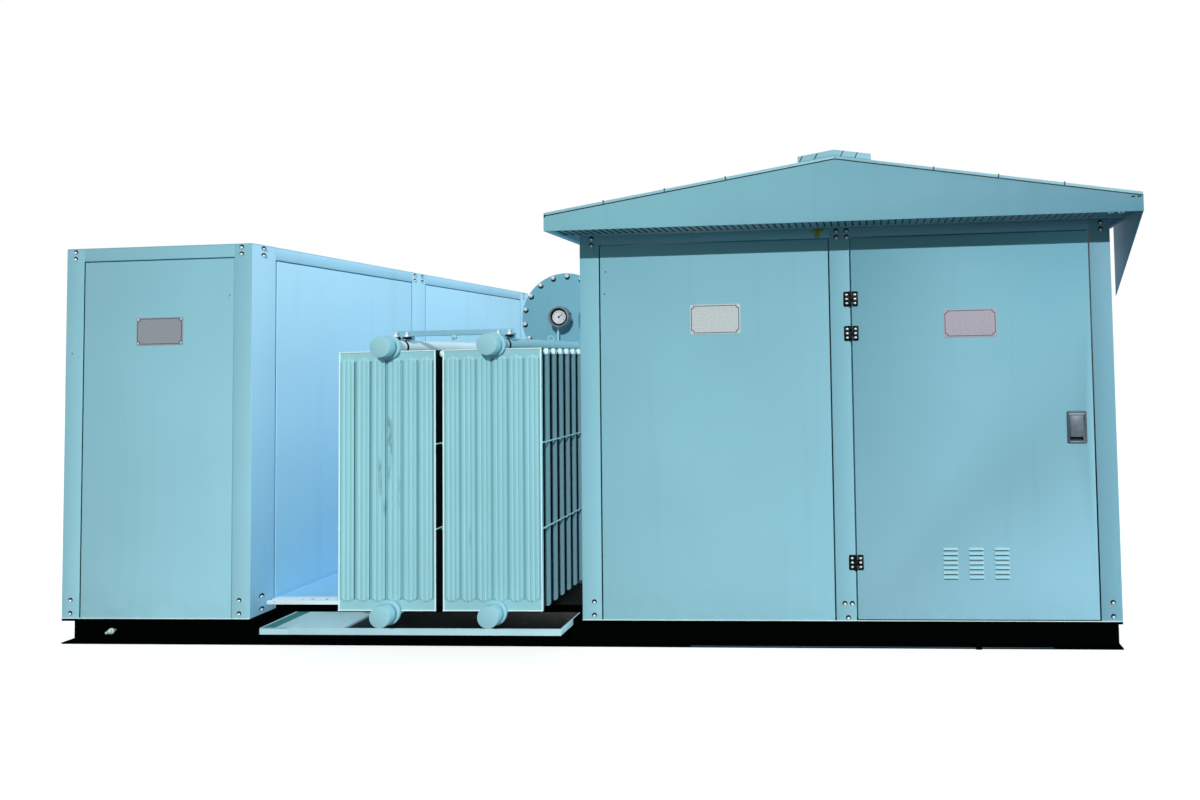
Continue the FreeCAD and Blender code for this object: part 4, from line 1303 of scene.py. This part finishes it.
def coverBolts():
    low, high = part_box("tank_cover")
    inset = cover["inset"]
    width = high.x - low.x - 2 * inset
    depth = high.y - low.y - 2 * inset
    across = int(width / cover["step"])
    along = int(depth / cover["step"])
    xs = [low.x + inset + width * index / across for index in range(across + 1)]
    ys = [low.y + inset + depth * index / along for index in range(1, along)]
    spots = [(x, y) for x in xs for y in (low.y + inset, high.y - inset)]
    spots += [(x, y) for y in ys for x in (low.x + inset, high.x - inset)]
    places = [Matrix.Translation((x, y, high.z)) for x, y in spots]
    addPiece("tank_cover_bolts", placed(hexNut(*cover["bolt"]), places), "tank")


def baseFittings():
    low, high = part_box("earthing_stud")
    centre = midPoint(low, high, low.y)
    face = centre + rearward * baseFit["earthBack"]
    washer, back = baseFit["earthWasher"]
    bm = placed(hexNut(*baseFit["earthNut"]), [facing(face, forward)])
    rod(bm, face, centre + rearward * back, washer, 20)
    rod(bm, centre + rearward * back, (centre.x, high.y, centre.z), baseFit["earthStud"], 14)
    addPiece("earthing_bolt", bm, "zinc", replaced=("earthing_stud",))
    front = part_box("base_front_beam")[0].y
    inside = front + baseFit["sunk"]
    half = baseFit["lugHalf"]
    bm = bmesh.new()
    block(bm, (baseFit["lugX"] - half, front - baseFit["lugSkin"], 0.0),
          (baseFit["lugX"] + half, inside, baseFit["lugHigh"]))
    top = baseFit["lugHigh"] - 1e-5
    heads = [edge for edge in bm.edges if all(v.co.z > top for v in edge.verts) and span(edge, 1) > 0.003]
    bevelled(bm, heads, half * 0.96, 6)
    addPiece("base_lug", bm, "base")
    bm = bmesh.new()
    block(bm, (baseFit["lineX"][0], front - baseFit["lineRise"], baseFit["lineZ"][0]),
          (baseFit["lineX"][1], inside, baseFit["lineZ"][1]))
    addPiece("base_flange_edge", bm, "handleRim")


trayShelves()
coverBolts()
baseFittings()
print("tank and base fittings made")

# roof: the dark line under the sheets and the dark soffit slots, both painted shade, then sheet joints,
# corner clips, ridge nicks and a small tag

roof = {
    "joints": {-1: (0.288, 0.600, 0.908), 1: (1.935, 2.245, 2.556)},
    "jointWide": 0.005,
    "jointDeep": 0.020,
    "jointZ": (-0.001, 0.0186),
    "skin": 0.018,
    "gap": 0.006,
    "gapDeep": 0.002,
    "lift": 0.004,
    "clip": (0.020, 0.008, 0.012),
    "clipFromRight": (0.030, 0.058),
    "leftClip": (0.004, 0.010, 0.010),
    "clipSoft": 0.001,
    "nickX": (1.287, 1.361, 1.489, 1.558),
    "nick": (0.0022, 0.0010, 0.016),
    "nickLift": 0.014,
    "nickFall": 0.030,
    "nickTurn": 0.5,
}
soffit = {
    "pitch": 0.036,
    "width": 0.0085,
    "depth": 0.003,
    "edgeDepth": 0.004,
    "sunk": 0.001,
    "outset": 0.004,
    "band": 0.150,
    "margin": 0.030,
    "last": 2.75,
    "boltX": (2.790, 2.840),
    "boltInset": 0.050,
    "bolt": (0.012, 0.008),
    "edge": 0.006,
}
tag = {"x": 1.346, "out": 0.012, "skin": 0.0012, "half": 0.012, "z": (0.050, 0.003), "turn": 0.12,
       "barHalf": 0.030, "barZ": (0.016, 0.004)}


def roofTrim():
    low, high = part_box("gable_front")
    leftLow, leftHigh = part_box("roof_left")
    middle = (low.x + high.x) / 2
    run = middle - leftLow.x
    tilt = math.atan((leftHigh.z - leftLow.z - roof["skin"]) / run)
    gaps = bmesh.new()
    joints = bmesh.new()
    for side in (-1, 1):
        flip = Matrix.Diagonal((side * -1, 1, 1, 1))
        place = Matrix.Translation((middle + side * run, 0, leftLow.z + roof["lift"])) @ flip
        place = place @ Matrix.Rotation(-tilt, 4, "Y")
        for out in (-1, 1):
            edgeY = -leftLow.y * out
            verts = block(gaps, (0, edgeY, -roof["gap"]),
                          (run / math.cos(tilt), edgeY - out * roof["gapDeep"], 0))
            bmesh.ops.transform(gaps, matrix=place, verts=verts)
            for jointX in roof["joints"][side]:
                along = (run - side * (jointX - middle)) / math.cos(tilt)
                verts = block(joints, (along, edgeY, roof["jointZ"][0]),
                              (along + roof["jointWide"], edgeY - out * roof["jointDeep"], roof["jointZ"][1]))
                bmesh.ops.transform(joints, matrix=place, verts=verts)
    # painted shade: the gap under the sheets is a near-black strip
    addPiece("roof_edge_gap", gaps, "dark")
    addPiece("roof_sheet_joints", joints, "slot")


def roofClips():
    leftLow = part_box("roof_left")[0]
    rightLow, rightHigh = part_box("roof_right")
    wide, tall, deep = roof["clip"]
    start, end, rise = roof["leftClip"]
    bm = bmesh.new()
    for out in (-1, 1):
        y = -leftLow.y * out
        back = y - out * deep
        for inset in roof["clipFromRight"]:
            x = rightHigh.x - inset
            softBlock(bm, (x, y, rightLow.z - tall), (x + wide, back, rightLow.z), roof["clipSoft"])
        softBlock(bm, (leftLow.x + start, y, leftLow.z - tall), (leftLow.x + end, back, leftLow.z + rise),
                  roof["clipSoft"])
    addPiece("roof_corner_clips", bm, "black")


def ridgeTrim():
    # slanted nicks in the front edge of the ridge cap
    low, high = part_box("ridge_cap")
    middle = (low.x + high.x) / 2
    half = (high.x - low.x) / 2
    wide, deep, tall = roof["nick"]
    nicks = bmesh.new()
    for x in roof["nickX"]:
        verts = block(nicks, (-wide, 0, -tall), (wide, deep, tall))
        rise = (high.z - low.z - roof["nickFall"]) * (1 - abs(x - middle) / half)
        place = Matrix.Translation((x, low.y, low.z + roof["nickLift"] + rise))
        bmesh.ops.transform(nicks, matrix=place @ Matrix.Rotation(roof["nickTurn"], 4, "Y"), verts=verts)
    addPiece("ridge_cap_nicks", nicks, "slot")


def soffitSlots():
    low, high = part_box("hv_ceiling")
    count = int((soffit["last"] - low.x - soffit["margin"]) / soffit["pitch"])
    top = low.z + soffit["sunk"]
    slots = bmesh.new()
    edges = bmesh.new()
    bolts = []
    for side in (-1, 1):
        outer = side * (abs(low.y) - soffit["outset"])
        inner = outer - side * soffit["band"]
        for index in range(count + 1):
            x = low.x + soffit["margin"] + index * soffit["pitch"]
            block(slots, (x, outer, low.z - soffit["depth"]), (x + soffit["width"], inner, top))
        line = inner - side * soffit["edge"]
        block(edges, (low.x, line, low.z - soffit["edgeDepth"]), (high.x, inner, top))
        bolts += [facing((x, outer - side * soffit["boltInset"], low.z), -upward) for x in soffit["boltX"]]
    # painted shade: the soffit slots are near black
    addPiece("soffit_slots", slots, "dark")
    addPiece("soffit_band_edge", edges, "sheet")
    addPiece("soffit_bolts", placed(hexNut(*soffit["bolt"]), bolts), "zinc")
    print("soffit slots:", count)


def soffitTag():
    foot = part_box("hv_ceiling")[0].z
    x = tag["x"]
    y = -wall - tag["out"]
    bm = bmesh.new()
    card = block(bm, (-tag["half"], y, -tag["z"][0]), (tag["half"], y + tag["skin"], -tag["z"][1]))
    turn = Matrix.Translation((x, 0, foot)) @ Matrix.Rotation(tag["turn"], 4, "Y")
    bmesh.ops.transform(bm, matrix=turn, verts=card)
    block(bm, (x - tag["barHalf"], y, foot - tag["barZ"][0]),
          (x + tag["barHalf"], y + tag["skin"], foot - tag["barZ"][1]))
    addPiece("soffit_tag", bm, "tag")


roofTrim()
roofClips()
ridgeTrim()
soffitSlots()
soffitTag()
print("roof trimmed")

# floor, world, lights and camera

light = {
    "sun": 2.70,
    "sunDirection": (-0.32, 1.0, -0.50),
    "sunAngle": 0.9,
    "fill": 1.10,
    "fillDirection": (-1, 0, -0.12),
    "fillColour": (0.66, 0.86, 1.0),
    "rear": 0.80,
    "rearDirection": (0.25, -1, -0.10),
    "softAngle": 20,
    "world": 0.28,
    "worldColour": (0.62, 1.0, 0.90, 1),
    "floorTone": 0.24,
    "floorWhite": 0.86,
    "floorGlow": 0.52,
    "floorHalf": 60,
}


def lamp(name, direction, energy, angle, colour=(1, 1, 1), shadow=True):
    data = bpy.data.lights.new(name, "SUN")
    data.energy = energy
    data.angle = math.radians(angle)
    data.color = colour
    data.use_shadow = shadow
    made = bpy.data.objects.new(name, data)
    made.rotation_euler = Vector(direction).to_track_quat("-Z", "Y").to_euler()
    scene.collection.objects.link(made)


def raySwitch(tree, kinds):
    # one where any of the named kinds of ray arrives, and zero elsewhere
    path = tree.nodes.new("ShaderNodeLightPath")
    picked = path.outputs[kinds[0]]
    for kind in kinds[1:]:
        either = tree.nodes.new("ShaderNodeMath")
        either.operation = "MAXIMUM"
        tree.links.new(picked, either.inputs[0])
        tree.links.new(path.outputs[kind], either.inputs[1])
        picked = either.outputs[0]
    return picked


def mixedBy(tree, factor, first, second):
    mixed = tree.nodes.new("ShaderNodeMixShader")
    for index, source in enumerate((factor, first, second)):
        tree.links.new(source, mixed.inputs[index])
    return mixed.outputs[0]


def studio():
    world = bpy.data.worlds.new("studioWorld")
    world.use_nodes = True
    scene.world = world
    tree = world.node_tree
    tree.nodes.clear()
    white = tree.nodes.new("ShaderNodeBackground")
    white.inputs["Color"].default_value = (1, 1, 1, 1)
    fill = tree.nodes.new("ShaderNodeBackground")
    fill.inputs["Color"].default_value = light["worldColour"]
    fill.inputs["Strength"].default_value = light["world"]
    seen = raySwitch(tree, ("Is Camera Ray", "Is Glossy Ray", "Is Transmission Ray"))
    out = tree.nodes.new("ShaderNodeOutputWorld")
    tree.links.new(mixedBy(tree, seen, fill.outputs[0], white.outputs[0]), out.inputs["Surface"])
    lamp("keyLight", light["sunDirection"], light["sun"], light["sunAngle"])
    lamp("sideFill", light["fillDirection"], light["fill"], light["softAngle"], light["fillColour"], False)
    lamp("rearFill", light["rearDirection"], light["rear"], light["softAngle"], shadow=False)


def stageFloor():
    # white to the camera apart from the object's shadow, and mid grey for the light it throws back
    bm = bmesh.new()
    bmesh.ops.create_grid(bm, x_segments=1, y_segments=1, size=light["floorHalf"])
    mesh = bpy.data.meshes.new("studioFloor")
    bm.to_mesh(mesh)
    bm.free()
    floor = bpy.data.objects.new("studioFloor", mesh)
    scene.collection.objects.link(floor)
    material = bpy.data.materials.new("studioFloor")
    material.use_nodes = True
    tree = material.node_tree
    shader = tree.nodes["Principled BSDF"]
    shader.inputs["Base Color"].default_value = (light["floorTone"],) * 3 + (1,)
    shader.inputs["Roughness"].default_value = 0.9
    shader.inputs["Specular IOR Level"].default_value = 0.0
    pale = tree.nodes.new("ShaderNodeBsdfDiffuse")
    pale.inputs["Color"].default_value = (light["floorWhite"],) * 3 + (1,)
    glow = tree.nodes.new("ShaderNodeEmission")
    glow.inputs["Strength"].default_value = light["floorGlow"]
    both = tree.nodes.new("ShaderNodeAddShader")
    tree.links.new(pale.outputs[0], both.inputs[0])
    tree.links.new(glow.outputs[0], both.inputs[1])
    seen = raySwitch(tree, ("Is Camera Ray", "Is Transmission Ray"))
    picked = mixedBy(tree, seen, shader.outputs[0], both.outputs[0])
    tree.links.new(picked, tree.nodes["Material Output"].inputs["Surface"])
    mesh.materials.append(material)


view = {
    "place": (1.6054, -4.2230, 1.5033),
    "yaw": -0.0524,
    "pitch": 0.02755,
    "roll": -0.0214,
    "lens": 16.97,
    "sensor": 36,
    "shift": (-0.2002, -0.0491),
}


def camera():
    data = bpy.data.cameras.new("photoCamera")
    data.lens = view["lens"]
    data.sensor_width = view["sensor"]
    data.sensor_fit = "HORIZONTAL"
    data.shift_x, data.shift_y = view["shift"]
    data.clip_end = 200
    level = Vector((math.cos(view["yaw"]), -math.sin(view["yaw"]), 0))
    ahead = Vector((math.sin(view["yaw"]), math.cos(view["yaw"]), 0)) * math.cos(view["pitch"])
    ahead.z = math.sin(view["pitch"])
    above = level.cross(ahead)
    right = level * math.cos(view["roll"]) + above * math.sin(view["roll"])
    top = above * math.cos(view["roll"]) - level * math.sin(view["roll"])
    turn = Matrix((right, top, -ahead)).transposed().to_4x4()
    eye = bpy.data.objects.new("photoCamera", data)
    eye.matrix_world = Matrix.Translation(view["place"]) @ turn
    scene.collection.objects.link(eye)
    scene.camera = eye


studio()
stageFloor()
camera()
scene.view_settings.view_transform = "Standard"
print("studio and camera set")

bpy.context.view_layer.update()
